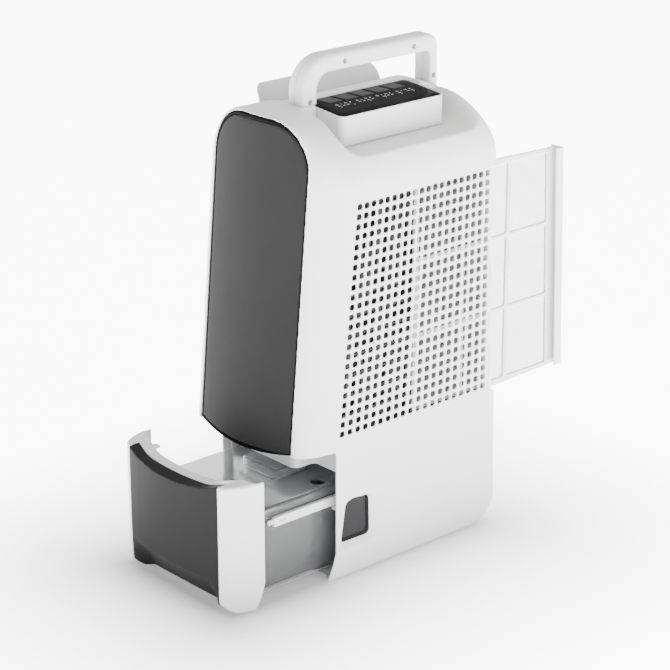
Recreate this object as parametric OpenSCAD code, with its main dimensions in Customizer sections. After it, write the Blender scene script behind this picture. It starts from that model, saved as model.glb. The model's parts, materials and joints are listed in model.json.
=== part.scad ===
// Free-standing desiccant dehumidifier: two side shells round a bent front panel,
// a pull-out water tank, a slide-out air filter, a swinging outlet flap,
// a carrying handle, and the fans, desiccant wheel and condenser inside.
// +X is the air intake side, -Y is the front, +Z is up and the floor is z = 0.
// The tank is drawn pulled part of the way out, the filter too, and the flap open.

/* [Body] */
// Width over the two side shells
body_w = 178; // [174:1:182]
// Height of the flat top
body_top = 464; // [460:1:468]
// Height of the shells' lower edge above the floor
body_bottom = 1.5; // [1:0.5:2]
// Wall thickness of the shells
shell_t = 2.5; // [2:0.5:3]
// Radius of the two long shoulders
shoulder_r = 67; // [60:1:70]
// Lean of the front face
front_lean = 5.1; // [3:0.1:6]
// Lean of the rear wall
rear_lean = 1.4; // [0:0.1:2]

/* [Tank drawer] */
// How far the drawer is drawn out
tank_out = 91.4; // [0:0.1:120]
// Inside height of the tank
tank_depth = 80; // [70:1:82]
// Outside width of the tank
tank_w = 141; // [130:1:142]

/* [Air filter] */
// How far the filter is drawn out
filter_out = 94.5; // [0:0.5:150]
// Height of the filter frame
filter_h = 244; // [220:1:246]

/* [Intake grille] */
// Number of hole columns
grille_columns = 20; // [4:1:20]
// Number of hole rows
grille_rows = 24; // [4:1:24]

/* [Outlet flap] */
// Angle of the flap above its closed position
flap_open = 90; // [0:1:105]
// Width of the flap blade
flap_w = 42; // [38:1:43]

/* [Desiccant wheel] */
// Pitch radius of the wheel's rim gear
wheel_pitch_r = 100; // [99:1:101]
// Number of teeth on the rim gear
wheel_teeth = 100; // [90:1:110]
// Number of teeth on the drive pinion
pinion_teeth = 12; // [11:1:13]

/* [Fans] */
// Radius of the main fan wheel
fan_r = 72; // [60:1:74]
// Number of blades on the main fan wheel
fan_blades = 28; // [12:1:36]
// Radius of the regeneration fan wheel
regen_r = 30; // [24:1:32]

/* [Control panel] */
// Number of push buttons
button_count = 5; // [3:1:5]
// Travel of a push button
button_travel = 0.8; // [0.5:0.1:1]

/* [Hidden] */

$fn = 48;
half_w = body_w / 2;
over = 1;              // how far a cutting solid runs past what it cuts
arc_steps = 10;        // straight pieces in a quarter of a shell's outline
gap = 0.4;             // clearance between parts that slide past each other
reach = 190;           // half-length of a prism longer than the body
white = "#f2f2f0";
light_grey = "#b9bbbd";
dark_grey = "#4c4d50";
black = "#141416";
smoke = "#9a9da099";

// Plan of the front, measured where the front face meets the bay
panel_half = 68.2;     // half-width of the dark front panel
panel_y = -131;        // its side edges
bow = 8.6;             // how far its middle stands in front of its edges
side_front_y = -88.6;  // where the flat sides start
bay_top = 138.5;       // lower edge of the shells in front of the flat sides
bow_r = (panel_half * panel_half + bow * bow) / (2 * bow);
bow_angle = asin(panel_half / bow_r);
bow_cy = panel_y - bow + bow_r;
face_rear = -96;       // a plane behind the whole leaning front face

// Side outline
foot_r = 34;
foot_c = [101, 35.5];
crown_r = 36;
rear_r = 5;            // the two upright rear corners
rear_y = 135.5;        // the rear wall at the height of foot_c
crown_c = [90, body_top - crown_r];

// Recess in the right shoulder, in which the control box stands
recess_y = [-69, 112];
recess_z = 428;
recess_corner = 16;
box_x = [-10, 48];
box_y = [-45, 92];
box_split = 12.5;      // the box is shallow on the left of this, above the handle's foot
box_left_z = 446;
glass_tilt = 5.3;
glass_t = 2.4;

// Handle
handle_half = 11.5;
handle_top = 510;
handle_bar = 17;
handle_y = [-63, 119];
handle_leg = [19, 13];

// Tank bay
bay_half = 82;
bay_ceiling = 112;
bay_rear = 118;
wall = 2.5;

// Outlet flap: closed, it lies along the left shoulder
flap_pivot = [-49, 449.1];
flap_lift = 5.5;       // from the pivot to the middle of the blade
flap_short = 14.5;     // how far the blade reaches past the pivot on its lower side
flap_tilt = 20.7;
flap_t = 2.6;
flap_y = [-58, 102];
flap_pin_r = 2.5;
flap_corner = [4, 20]; // radii of the blade's front corners and its upper rear corner
duct_x = [-66, -24];
duct_y = [-62, 106];

// Filter
filter_x = 79.6;
filter_t = 3;
filter_z = 146.5;
filter_rear = [136.5, 128.5]; // outer face of the grip at its foot and its head, with the filter home
filter_len = 211;      // along the foot
notch_x = 71;          // the notch for it in the right shell's rear corner
notch_y = [125.3, 117.3];
notch_gap = 1.5;

// Desiccant wheel and its gears
wheel_c = [10, 270];
wheel_x = [30, 46];
gear_m = 2 * wheel_pitch_r / wheel_teeth;
pinion_pitch_r = gear_m * pinion_teeth / 2;
pinion_angle = 225;
pinion_c = wheel_c + (wheel_pitch_r + pinion_pitch_r) * [cos(pinion_angle), sin(pinion_angle)];

// Fans
fan_c = [6, 292];
fan_x = [-62, -20];
regen_c = [60, 160];
regen_x = [-38, -12];
shaft_r = 4;
run_gap = 0.05;        // radial clearance of a shaft in its bearing

// ---- Outlines and helpers -------------------------------------------------

function arc(c, r, a0, a1, n = arc_steps) =
    [for (i = [0:n]) c + r * [cos(a0 + (a1 - a0) * i / n), sin(a0 + (a1 - a0) * i / n)]];

// Front view of the body, t inside its surface
function arch_outline(t) = concat(
    [[-half_w + t, body_bottom + t], [half_w - t, body_bottom + t]],
    arc([half_w - shoulder_r, body_top - shoulder_r], shoulder_r - t, 0, 90),
    arc([shoulder_r - half_w, body_top - shoulder_r], shoulder_r - t, 90, 180));

// Side view of the body
function side_outline(t) = concat(
    [[-reach, body_top - t], [-reach, body_bottom + t]],
    arc(foot_c, foot_r - t, -90, 0),
    arc(crown_c, crown_r - t, 0, 90));

// Plan of the bowed front and its two rounded corners
function front_plan(t) = concat(
    [[half_w - t, reach], [-half_w + t, reach]],
    [for (i = [arc_steps:-1:0]) front_corner(i, t, -1)],
    arc([0, bow_cy], bow_r - t, 270.5 - bow_angle, 269.5 + bow_angle),
    [for (i = [0:arc_steps]) front_corner(i, t, 1)]);

// A point of the quarter ellipse from the panel's edge to the flat side
function front_corner(i, t, side) = let (a = 90 * i / arc_steps) [
    side * (panel_half + (half_w - panel_half - t) * sin(a)),
    side_front_y + (panel_y - side_front_y + t) * cos(a)];

// Plan of the rear with its two rounded corners
function rear_plan(t) = concat(
    [[-half_w + t, -reach], [half_w - t, -reach]],
    arc([half_w - rear_r, rear_y - rear_r], rear_r - t, 0, 90, 5),
    arc([rear_r - half_w, rear_y - rear_r], rear_r - t, 90, 180, 5));

// A (y, z) outline drawn out along X, and an (x, z) outline drawn out along Y
module along_x(x0, x1) {
    translate([x0, 0, 0]) rotate([90, 0, 90]) linear_extrude(x1 - x0) children();
}
module along_y(y0, y1) {
    translate([0, y1, 0]) rotate([90, 0, 0]) linear_extrude(y1 - y0) children();
}
module box3(lo, hi) {
    translate(lo) cube(hi - lo);
}
module rounded_rect(lo, hi, r) {
    polygon(concat(
        arc([hi[0] - r, hi[1] - r], r, 0, 90, 4), arc([lo[0] + r, hi[1] - r], r, 90, 180, 4),
        arc([lo[0] + r, lo[1] + r], r, 180, 270, 4), arc([hi[0] - r, lo[1] + r], r, 270, 360, 4)));
}
module x_cylinder(c, x0, x1, r) {
    translate([x0, c[0], c[1]]) rotate([0, 90, 0]) cylinder(h = x1 - x0, r = r);
}
module y_cylinder(c, y0, y1, r) {
    translate([c[0], y1, c[1]]) rotate([90, 0, 0]) cylinder(h = y1 - y0, r = r);
}

// Everything inside the body's outer surface, t below it
module body_block(t) {
    intersection() {
        along_y(-reach, reach) polygon(arch_outline(t));
        along_x(-half_w, half_w) polygon(side_outline(t));
        translate([0, 0, bay_top]) rotate([-front_lean, 0, 0]) translate([0, 0, -reach])
            linear_extrude(3 * reach) polygon(front_plan(t));
        translate([0, 0, foot_c[1]]) rotate([rear_lean, 0, 0]) translate([0, 0, -reach])
            linear_extrude(4 * reach) polygon(rear_plan(t));
    }
}

// Front-view outline of the dark panel, t inside its edge
module panel_outline(t) {
    sag = 7;
    sag_r = (panel_half * panel_half + sag * sag) / (2 * sag);
    top = 461.5;
    r = 46;
    half = panel_half - t;
    polygon(concat(
        arc([0, bay_top + 2 + sag_r - sag], sag_r - t, 270 - asin(half / sag_r), 270 + asin(half / sag_r)),
        arc([panel_half - r, top - r], r - t, 0, 90),
        arc([r - panel_half, top - r], r - t, 90, 180)));
}

// The recess on the right shoulder, grown by t
module recess_block(t) {
    along_x(handle_half - t, half_w + over)
        rounded_rect([recess_y[0] - t, recess_z - t], [recess_y[1] + t, body_top + 40], recess_corner);
    box3([box_x[0] - gap - t, box_y[0] - gap - t, box_left_z - t],
         [handle_half + over, box_y[1] + gap + t, body_top + 40]);
}

// Side view of what is open below the shells at the front: the drawer's place
module bay_side_cut() {
    polygon(concat(
        [[-reach, -over], [-99.8, -over], [-96.2, 9], [-91.6, 18.5], [side_front_y, 29]],
        arc([side_front_y - 4.5, bay_top - 4.5], 4.5, 0, 90, 4),
        [[-reach, bay_top]]));
}

module shells() {
    difference() {
        body_block(0);
        difference() {
            body_block(shell_t);
            recess_block(shell_t);
        }
        recess_block(0);
        along_y(-reach, face_rear) panel_outline(-0.2);
        along_x(-half_w - over, half_w + over) bay_side_cut();
        box3([-bay_half + 2, -reach, 0], [bay_half - 2, 112, body_bottom + shell_t + over]);
    }
}

// ---- Housing --------------------------------------------------------------

module grille_holes() {
    hole = 5.8;
    top_z = 381.8;
    pitch_z = 9.84;
    last_y = 112.4;
    span_top = 171.1;
    span_grow = 0.97; // the front column leans with the front edge
    along_x(half_w - 10, half_w + over)
        for (row = [0:grille_rows - 1], col = [0:grille_columns - 1])
            let (pitch_y = (span_top + span_grow * row) / (grille_columns - 1))
                translate([last_y - col * pitch_y, top_z - row * pitch_z]) square(hole, center = true);
}

module window_outline(t) {
    polygon([[-79.5 - t, 32 - t], [-76 - t, 83.5 + t], [-41.5 + t, 82 + t], [-40.5 + t, 34 - t]]);
}

module right_shell() {
    color(white) difference() {
        intersection() {
            shells();
            box3([0, -reach, 0], [reach, reach, 2 * reach + 100]);
        }
        grille_holes();
        along_x(half_w - 10, half_w + over) window_outline(0.2);
        // notch at the rear edge, through which the filter slides
        along_x(notch_x, reach) polygon([
            [notch_y[0], filter_z - notch_gap], [reach, filter_z - notch_gap],
            [reach, filter_z + filter_h + notch_gap], [notch_y[1], filter_z + filter_h + notch_gap]]);
    }
}

module left_shell() {
    color(white) difference() {
        intersection() {
            shells();
            box3([-reach, -reach, 0], [0, reach, 2 * reach + 100]);
        }
        box3([duct_x[0], duct_y[0], 430], [duct_x[1], duct_y[1], body_top + over]);
        y_cylinder([-55, 133], 100, reach, 7);
    }
}

// A 3 mm skin that follows the front face, inside the given front-view outline
module front_skin(depth) {
    intersection() {
        difference() {
            body_block(0);
            body_block(depth);
        }
        union() children();
    }
}

module front_panel() {
    color(dark_grey) front_skin(2.4) along_y(-reach, face_rear) panel_outline(3.7);
}

module front_trim() {
    color(black) front_skin(4) along_y(-reach, face_rear) difference() {
        panel_outline(0);
        panel_outline(3.5);
    }
}

// Moulded bay for the tank: ceiling, side walls, rear wall and the front skirt
skirt_half = 47;
skirt_y = -106;
skirt_z = 111.5;
skirt_top = bay_top + 3;
step_y = -80.5;        // behind the skirt, where the bay grows to its full width

// One side of the bay, for x > 0
module bay_side() {
    ledge_z = [70, 74.6];
    ledge_x = tank_w / 2 + 1.2;
    side_z = [6, bay_ceiling + over];
    box3([skirt_half - wall, skirt_y, skirt_z], [skirt_half, step_y, skirt_top]);
    box3([skirt_half - wall, step_y, skirt_z], [bay_half + wall, step_y + wall, skirt_top]);
    box3([bay_half, step_y, side_z[0]], [bay_half + wall, bay_rear + wall, side_z[1]]);
    // the ledge that the tank's rail rides on
    box3([ledge_x, step_y, ledge_z[0]], [bay_half + over, bay_rear + over, ledge_z[1]]);
}

module chassis() {
    spout = [55, 8];
    side = bay_half + wall;
    color(light_grey) difference() {
        intersection() {
            body_block(shell_t + 0.1);
            union() {
                box3([-skirt_half, skirt_y, bay_ceiling], [skirt_half, step_y + over, bay_ceiling + wall]);
                box3([-side, step_y, bay_ceiling], [side, bay_rear + wall, bay_ceiling + wall]);
                box3([-skirt_half, skirt_y, skirt_z], [skirt_half, skirt_y + wall, skirt_top]);
                box3([-side, bay_rear, 6], [side, bay_rear + wall, bay_ceiling + over]);
                bay_side();
                mirror([1, 0, 0]) bay_side();
            }
        }
        // drip hole in the ceiling, and the window's opening in the right wall
        translate([spout[0], spout[1], bay_ceiling - over]) cylinder(h = wall + 2 * over, r = 5);
        along_x(bay_half - over, side + over) window_outline(-1);
    }
}

tray_t = 3;
tray_y = [-94, 108];
foot_x = 70;
foot_y = [-84, 98];
base_screw_x = 52;
base_screw_y = [-78, 92];
screw_r = 1.5;

module base_tray() {
    tray_half = bay_half - 2.5;
    color(dark_grey) difference() {
        box3([-tray_half, tray_y[0], body_bottom], [tray_half, tray_y[1], body_bottom + tray_t]);
        for (x = [-base_screw_x, base_screw_x], y = base_screw_y)
            translate([x, y, 0]) cylinder(h = body_bottom + tray_t + over, r = screw_r + 0.1);
    }
}

module feet() {
    color(black) for (x = [-foot_x, foot_x], y = foot_y)
        translate([x, y, 0]) cylinder(h = body_bottom, r = 8);
}

module base_screws() {
    head_t = 1;
    head_z = 0.4;
    color("silver") for (x = [-base_screw_x, base_screw_x], y = base_screw_y) translate([x, y, head_z]) {
        cylinder(h = head_t, r = 3.2);
        cylinder(h = body_bottom + tray_t - head_z + 0.2, r = screw_r);
    }
}

module tank_window() {
    color(black) along_x(half_w - 4.5, half_w - 1.5) window_outline(0);
}

// Side view of the handle: legs, bar and rounded corners
module handle_outline() {
    difference() {
        polygon(concat(
            [[handle_y[0], 440], [handle_y[1], 440]],
            arc([handle_y[1] - 15, handle_top - 15], 15, 0, 90, 6),
            arc([handle_y[0] + 34, handle_top - 34], 34, 90, 180, 8)));
        polygon(concat(
            [[handle_y[0] + handle_leg[0], 430], [handle_y[1] - handle_leg[1], 430]],
            arc([handle_y[1] - handle_leg[1] - 5, handle_top - handle_bar - 5], 5, 0, 90, 4),
            arc([handle_y[0] + handle_leg[0] + 17, handle_top - handle_bar - 17], 17, 90, 180, 6)));
    }
}
handle_holes = [[-52.4, 467], [112, 467], [-7.7, 500.5], [84.3, 500.5]];

module handle_part(x0, x1) {
    difference() {
        along_x(x0, x1) handle_outline();
        body_block(0);
        for (c = handle_holes) x_cylinder(c, -8, handle_half + over, 1.5);
    }
}

module handle_right() {
    color(white) difference() {
        handle_part(0, handle_half);
        for (c = handle_holes) x_cylinder(c, 5, handle_half + over, 3);
    }
}

module handle_left() {
    color(white) handle_part(-handle_half, 0);
}

module handle_screws() {
    color("silver") for (c = handle_holes) {
        x_cylinder(c, -7.5, 5, 1.45);
        x_cylinder(c, 5, 7.4, 2.8);
    }
}

// ---- Control panel --------------------------------------------------------

glass_z = body_top - 0.5;
glass_len = (box_x[1] - box_x[0]) / cos(glass_tilt);
function glass_drop(x) = tan(glass_tilt) * (x - box_x[0]);

// Places its children in the plane of the glass: x to the right, y to the rear
module on_glass() {
    translate([box_x[0], 0, glass_z]) rotate([0, glass_tilt, 0]) children();
}

module glass_plan(t) {
    rounded_rect([-t, box_y[0] - t], [glass_len + t, box_y[1] + t], 7);
}

// Block under the glass, t inside the box's sides, from low below its foot to its roof's height
module box_solid(t, low, roof) {
    intersection() {
        along_y(box_y[0] + t, box_y[1] - t) polygon([
            [box_x[0] + t, box_left_z + gap - low], [box_split + t, box_left_z + gap - low],
            [box_split + t, recess_z + gap - low], [box_x[1] - t, recess_z + gap - low],
            [box_x[1] - t, glass_z - glass_drop(box_x[1]) - roof], [box_x[0] + t, glass_z - roof]]);
        on_glass() translate([0, 0, -60]) linear_extrude(70) glass_plan(-t);
    }
}

module control_box() {
    side_t = 2;
    roof_z = glass_t + 0.2;
    color(white) difference() {
        box_solid(0, 0, roof_z);
        box_solid(side_t, 30, roof_z + 3.2);
        through_glass() for (i = [0:button_count - 1]) button_plan(i, 1);
    }
}

// Cuts through the glass and the roof under it
module through_glass() {
    on_glass() translate([0, 0, -9]) linear_extrude(10) children();
}

// A slanted key near the left edge of the glass, t larger all round
button_half = [9, 8.6];
button_slant = -3;
button_pitch = 21;
function button_place(i) = [12.5, (i - 1) * button_pitch];
module button_plan(i, t) {
    u = button_half[0] + t;
    v = button_half[1] + t;
    translate(button_place(i)) polygon([
        [-u, button_slant - v], [u, -button_slant - v], [u, v - button_slant], [-u, v + button_slant]]);
}

module control_glass() {
    color(black) difference() {
        on_glass() translate([0, 0, -glass_t]) linear_extrude(glass_t) glass_plan(-0.3);
        through_glass() for (i = [0:button_count - 1]) button_plan(i, 0.3);
    }
}

// Push button: a cap in the glass and a stem that ends a little over one travel above its switch
module button(i) {
    cap = [-1.6, 0.5];
    stem_z = switch_top + button_travel + 0.1;
    color(dark_grey) on_glass() {
        translate([0, 0, cap[0]]) linear_extrude(cap[1] - cap[0]) button_plan(i, 0);
        translate(concat(button_place(i), [stem_z])) cylinder(h = cap[0] - stem_z + 0.5, r = 1.6);
    }
}

board_z = -12;         // below the face of the glass
board_t = 1.6;
switch_h = 2.4;
switch_top = board_z + board_t + switch_h;

module display_board() {
    lamps = 9;
    lamp_pitch = 13;
    switch_w = 6;
    color("darkgreen") on_glass() {
        difference() {
            translate([4.5, box_y[0] + 4, board_z]) cube([glass_len - 9.5, box_y[1] - box_y[0] - 8, board_t]);
            translate([45, -20, board_z - over]) cylinder(h = board_t + 2 * over, r = 1.6);
        }
        for (i = [0:button_count - 1])
            translate(concat(button_place(i) - [switch_w / 2, switch_w / 2], [board_z + board_t]))
                cube([switch_w, switch_w, switch_h]);
        for (i = [0:lamps - 1])
            translate([26, -34 + i * lamp_pitch, board_z + board_t]) cube([3, 3, 2]);
    }
}

// ---- Intake side ----------------------------------------------------------

guide_x = [76, 84];
guide_y = [-84, 117];

module filter_guides() {
    depth = 4;
    color(light_grey) difference() {
        union() {
            box3([guide_x[0], guide_y[0], filter_z - 2.4 - gap], [guide_x[1], guide_y[1], filter_z + depth]);
            box3([guide_x[0], guide_y[0], filter_z + filter_h - depth],
                 [guide_x[1], guide_y[1], filter_z + filter_h + 2.4 + gap]);
            box3([guide_x[0], guide_y[0], filter_z], [guide_x[1], guide_y[0] + 3, filter_z + filter_h]);
        }
        box3([filter_x - filter_t / 2 - gap, guide_y[0] + 3, filter_z - gap],
             [filter_x + filter_t / 2 + gap, reach, filter_z + filter_h + gap]);
    }
}

module intake_grid() {
    grid_x = [74, 75.6];
    bars_y = 10;
    bars_z = 12;
    bar_half = 1;
    y_step = (guide_y[1] - guide_y[0]) / bars_y;
    z_step = filter_h / bars_z;
    color(light_grey) {
        for (i = [0:bars_y]) translate([0, guide_y[0] + i * y_step, filter_z])
            box3([grid_x[0], -bar_half, 0], [grid_x[1], bar_half, filter_h]);
        for (i = [0:bars_z]) translate([0, 0, filter_z + i * z_step])
            box3([grid_x[0], guide_y[0], -bar_half], [grid_x[1], guide_y[1], bar_half]);
    }
}

// Condenser: two headers joined by flat air tubes, in the intake air
module condenser() {
    x = [60, 72];
    y = [-74, 106];
    tubes = 14;
    step = (y[1] - y[0] - 8) / (tubes - 1);
    color("slategray") {
        for (z = [152, 376]) box3([x[0], y[0], z], [x[1], y[1], z + 12]);
        for (i = [0:tubes - 1])
            box3([x[0] + 1, y[0] + 1.5 + i * step, 163], [x[1] - 1, y[0] + 6.5 + i * step, 377]);
    }
}

module drip_tray() {
    lo = [57, -77, 136];
    hi = [73, 110, 150];
    color(light_grey) difference() {
        union() {
            box3(lo, hi);
            translate([65, 8, 118]) cylinder(h = 20, r = 6);
            translate([55, 8, 116]) cylinder(h = 8, r = 4.6);
        }
        box3(lo + [2, 2, 2], hi + [-2, -2, over]);
        translate([65, 8, 122]) cylinder(h = 20, r = 3);
        translate([55, 8, 115]) cylinder(h = 10, r = 2.6);
    }
}

// ---- Desiccant wheel ------------------------------------------------------

// One gear outline of straight-sided teeth, with backlash and short tips
module gear_outline(teeth, tip, root, pitch_w) {
    pitch_r = gear_m * teeth / 2;
    flank = tan(20);
    w_tip = pitch_w - 2 * tip * flank;
    w_root = pitch_w + 2 * root * flank;
    polygon([for (i = [0:teeth - 1], p = [[-root, -w_root], [tip, -w_tip], [tip, w_tip], [-root, w_root]])
        let (r = pitch_r + p[0], a = 360 * i / teeth + p[1] / 2 / r * 180 / PI) r * [cos(a), sin(a)]]);
}
tooth_w = gear_m * PI / 2 - 0.45;
tip = 1.3;
root = 1.8;
gear_w = 8;
pinion_shaft = [14, 3]; // where its end is along X, and its radius
rim_in = 92;

module wheel_rim() {
    lip = 2;
    hub_r = 12;
    rim_out = rim_in + 4;
    color(white) {
        // rim: a channel that holds the ceramic's edge
        difference() {
            x_cylinder(wheel_c, wheel_x[0], wheel_x[1], rim_out);
            x_cylinder(wheel_c, wheel_x[0] + lip, wheel_x[1] - lip, rim_in);
            x_cylinder(wheel_c, wheel_x[0] - over, wheel_x[1] + over, rim_in - lip);
        }
        translate([wheel_x[0] + 4, wheel_c[0], wheel_c[1]]) rotate([90, 0, 90]) linear_extrude(gear_w)
            difference() {
                rotate(pinion_angle) gear_outline(wheel_teeth, tip, root, tooth_w);
                circle(r = rim_out - 2);
            }
        // spokes and hub
        difference() {
            union() {
                for (a = [0:60:300])
                    translate([wheel_x[0] + 0.5, wheel_c[0], wheel_c[1]]) rotate([a, 0, 0])
                        box3([0, -1.5, hub_r - 2], [wheel_x[1] - wheel_x[0] - 1, 1.5, rim_in + 1.5]);
                x_cylinder(wheel_c, wheel_x[0], wheel_x[1], hub_r);
            }
            x_cylinder(wheel_c, wheel_x[0] - over, wheel_x[1] + over, shaft_r + run_gap);
        }
    }
}

// Ceramic honeycomb, in six sectors between the spokes
module desiccant_wheel() {
    color("lightgray") difference() {
        x_cylinder(wheel_c, wheel_x[0] + 2.2, wheel_x[1] - 2.2, rim_in);
        x_cylinder(wheel_c, wheel_x[0], wheel_x[1], 12);
        for (a = [0:60:300])
            translate([wheel_x[0], wheel_c[0], wheel_c[1]]) rotate([a, 0, 0])
                box3([0, -1.5, 5], [wheel_x[1] - wheel_x[0], 1.5, rim_in + 4]);
    }
}

module wheel_frame() {
    x = [22, 26];
    lo = [-100, 152];
    hi = [120, 386];
    window_r = 88;
    color(light_grey) difference() {
        union() {
            difference() {
                box3([x[0], lo[0], lo[1]], [x[1], hi[0], hi[1]]);
                x_cylinder(wheel_c, x[0] - over, x[1] + over, window_r);
            }
            for (a = [30:60:330])
                translate([x[0], wheel_c[0], wheel_c[1]]) rotate([a, 0, 0])
                    box3([0, -2.5, 8], [x[1] - x[0], 2.5, window_r + 2]);
            x_cylinder(wheel_c, x[0], x[1] + 2, 11);
        }
        x_cylinder(wheel_c, x[0] - over, x[1] + 3, shaft_r);
        x_cylinder(pinion_c, x[0] - over, x[1] + over, shaft_r + 2);
    }
}

module wheel_axle() {
    color("silver") {
        x_cylinder(wheel_c, 20, wheel_x[1] + 4, shaft_r);
        x_cylinder(wheel_c, 17, 20, shaft_r + 3);
    }
}

module pinion() {
    color(white) translate([0, pinion_c[0], pinion_c[1]]) rotate([90, 0, 90]) {
        translate([0, 0, wheel_x[0] + 3]) linear_extrude(gear_w + 2)
            rotate(pinion_angle + 180 + 180 / pinion_teeth)
                gear_outline(pinion_teeth, tip, root, tooth_w);
        translate([0, 0, pinion_shaft[0]])
            cylinder(h = wheel_x[0] + 3 - pinion_shaft[0], r = pinion_shaft[1]);
    }
}

module wheel_motor() {
    color("silver") difference() {
        union() {
            x_cylinder(pinion_c, -2, 20, 17);
            box3([18, pinion_c[0] - 22, pinion_c[1] - 5], [20.5, pinion_c[0] + 22, pinion_c[1] + 5]);
        }
        x_cylinder(pinion_c, 8, 22, pinion_shaft[1] + run_gap);
    }
}

// Heater hood over one sector of the wheel, on the intake side
module sector(r0, r1, x0, x1, a0, a1) {
    translate([x0, wheel_c[0], wheel_c[1]]) rotate([90, 0, 90]) linear_extrude(x1 - x0)
        polygon(concat(arc([0, 0], r1, a0, a1, 8), arc([0, 0], r0, a1, a0, 4)));
}

module heater_box() {
    color("silver") difference() {
        sector(16, 94, 47.5, 58.5, 60, 130);
        sector(19, 91, 46, 56.5, 62, 128);
    }
}

module heater_coil() {
    color("sienna") for (r = [28:14:84])
        translate([50.5, wheel_c[0], wheel_c[1]]) rotate([90, 0, 90]) linear_extrude(3)
            polygon(concat(arc([0, 0], r + 3, 66, 124, 8), arc([0, 0], r, 124, 66, 8)));
    color("sienna") sector(24, 88, 48.5, 50.5, 93, 97);
}

module thermal_fuse() {
    color("ivory") translate([53.5, wheel_c[0] - 6, wheel_c[1] + 97]) cube([5, 12, 7]);
}

// ---- Fans -----------------------------------------------------------------

scroll_x = [-68, -16];

// Side view of the main fan housing: a spiral that opens upwards
module scroll_outline(t) {
    r0 = 80;
    growth = 16;
    turns = 24;
    polygon(concat(
        [[fan_c[0] - 68 + t, 399], [fan_c[0] - 68 + t, fan_c[1] + 40]],
        [for (i = [0:turns]) let (a = 160 + 200 * i / turns, r = r0 + growth * i / turns - t)
            fan_c + r * [cos(a), sin(a)]],
        [[fan_c[0] + r0 + growth - t, 399]]));
}

module fan_scroll() {
    color(dark_grey) difference() {
        along_x(scroll_x[0], scroll_x[1]) scroll_outline(0);
        along_x(scroll_x[0] + 2, scroll_x[1] + over) intersection() {
            scroll_outline(2);
            translate([-reach, 0]) square([2 * reach, 399 - 0.01]);
        }
        box3([scroll_x[0] + 2, fan_c[0] - 66 + 2, 380], [scroll_x[1] + over, fan_c[0] + 92, 400]);
        x_cylinder(fan_c, scroll_x[0] - over, scroll_x[1], 34);
    }
}

module fan_inlet_plate() {
    color(dark_grey) difference() {
        along_x(scroll_x[1] + 0.02, scroll_x[1] + 2) scroll_outline(0);
        x_cylinder(fan_c, scroll_x[1] - over, scroll_x[1] + 3, 56);
    }
}

module fan_wheel() {
    color(dark_grey) {
        difference() {
            union() {
                x_cylinder(fan_c, fan_x[0], fan_x[0] + 2.5, fan_r);
                x_cylinder(fan_c, fan_x[0], fan_x[0] + 18, 12);
            }
            x_cylinder(fan_c, fan_x[0] - over, fan_x[0] + 19, shaft_r);
        }
        difference() {
            x_cylinder(fan_c, fan_x[1] - 2.5, fan_x[1], fan_r);
            x_cylinder(fan_c, fan_x[1] - 4, fan_x[1] + over, fan_r - 12);
        }
        for (i = [0:fan_blades - 1])
            translate([0, fan_c[0], fan_c[1]]) rotate([360 * i / fan_blades, 0, 0])
                translate([0, 0, fan_r - 6.5]) rotate([35, 0, 0])
                    box3([fan_x[0] + 1, -0.7, -6], [fan_x[1] - 1, 0.7, 6]);
    }
}

module fan_shaft() {
    color("silver") x_cylinder(fan_c, -80, fan_x[0] + 16, shaft_r);
}

module fan_motor() {
    color("silver") difference() {
        union() {
            x_cylinder(fan_c, -84, -65, 32);
            for (a = [45:90:315]) translate([0, fan_c[0], fan_c[1]]) rotate([a, 0, 0])
                box3([-71, -5, 28], [-68.4, 5, 42]);
        }
        x_cylinder(fan_c, -82, -64, shaft_r + run_gap);
    }
}

module regen_scroll() {
    r = regen_r + 4;
    skin = 2;
    x = regen_x + [-skin, skin];
    spout = 18;
    color(dark_grey) difference() {
        union() {
            x_cylinder(regen_c, x[0] - skin, x[1] + skin, r + skin);
            translate([0, regen_c[0], regen_c[1]])
                box3([x[0] - skin, -r - skin, -spout], [x[1] + skin, 0, skin]);
        }
        x_cylinder(regen_c, x[0], x[1], r);
        translate([0, regen_c[0], regen_c[1]])
            box3([x[0], -r - 3 * skin, skin - spout], [x[1], -12, 0]);
        x_cylinder(regen_c, regen_x[1], regen_x[1] + 6, 20);
        x_cylinder(regen_c, regen_x[0] - 5, regen_x[0], 8);
    }
}

module regen_wheel() {
    color(black) {
        x_cylinder(regen_c, regen_x[0], regen_x[0] + 2, regen_r);
        x_cylinder(regen_c, regen_x[0] - 14, regen_x[0] + 12, 3);
        for (i = [0:13])
            translate([0, regen_c[0], regen_c[1]]) rotate([360 * i / 14, 0, 0])
                box3([regen_x[0] + 1, -0.7, 14], [regen_x[1], 0.7, regen_r - 0.5]);
    }
}

module regen_motor() {
    color("silver") difference() {
        x_cylinder(regen_c, regen_x[0] - 26, regen_x[0] - 6, 19);
        x_cylinder(regen_c, regen_x[0] - 15, regen_x[0] - 5, 3 + run_gap);
    }
}

// ---- Outlet ---------------------------------------------------------------

module outlet_duct() {
    top = body_top - 5.5;
    outer = 2.2;
    color(light_grey) difference() {
        intersection() {
            box3([duct_x[0] - outer, duct_y[0] - outer, 399.5], [duct_x[1] + outer, duct_y[1] + outer, top]);
            body_block(shell_t + 0.2);
        }
        box3([duct_x[0], duct_y[0], 399], [duct_x[1], duct_y[1], top + 20]);
        y_cylinder(flap_pivot, duct_y[0] - 5, duct_y[1] + 5, flap_pin_r + run_gap);
    }
}

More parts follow.
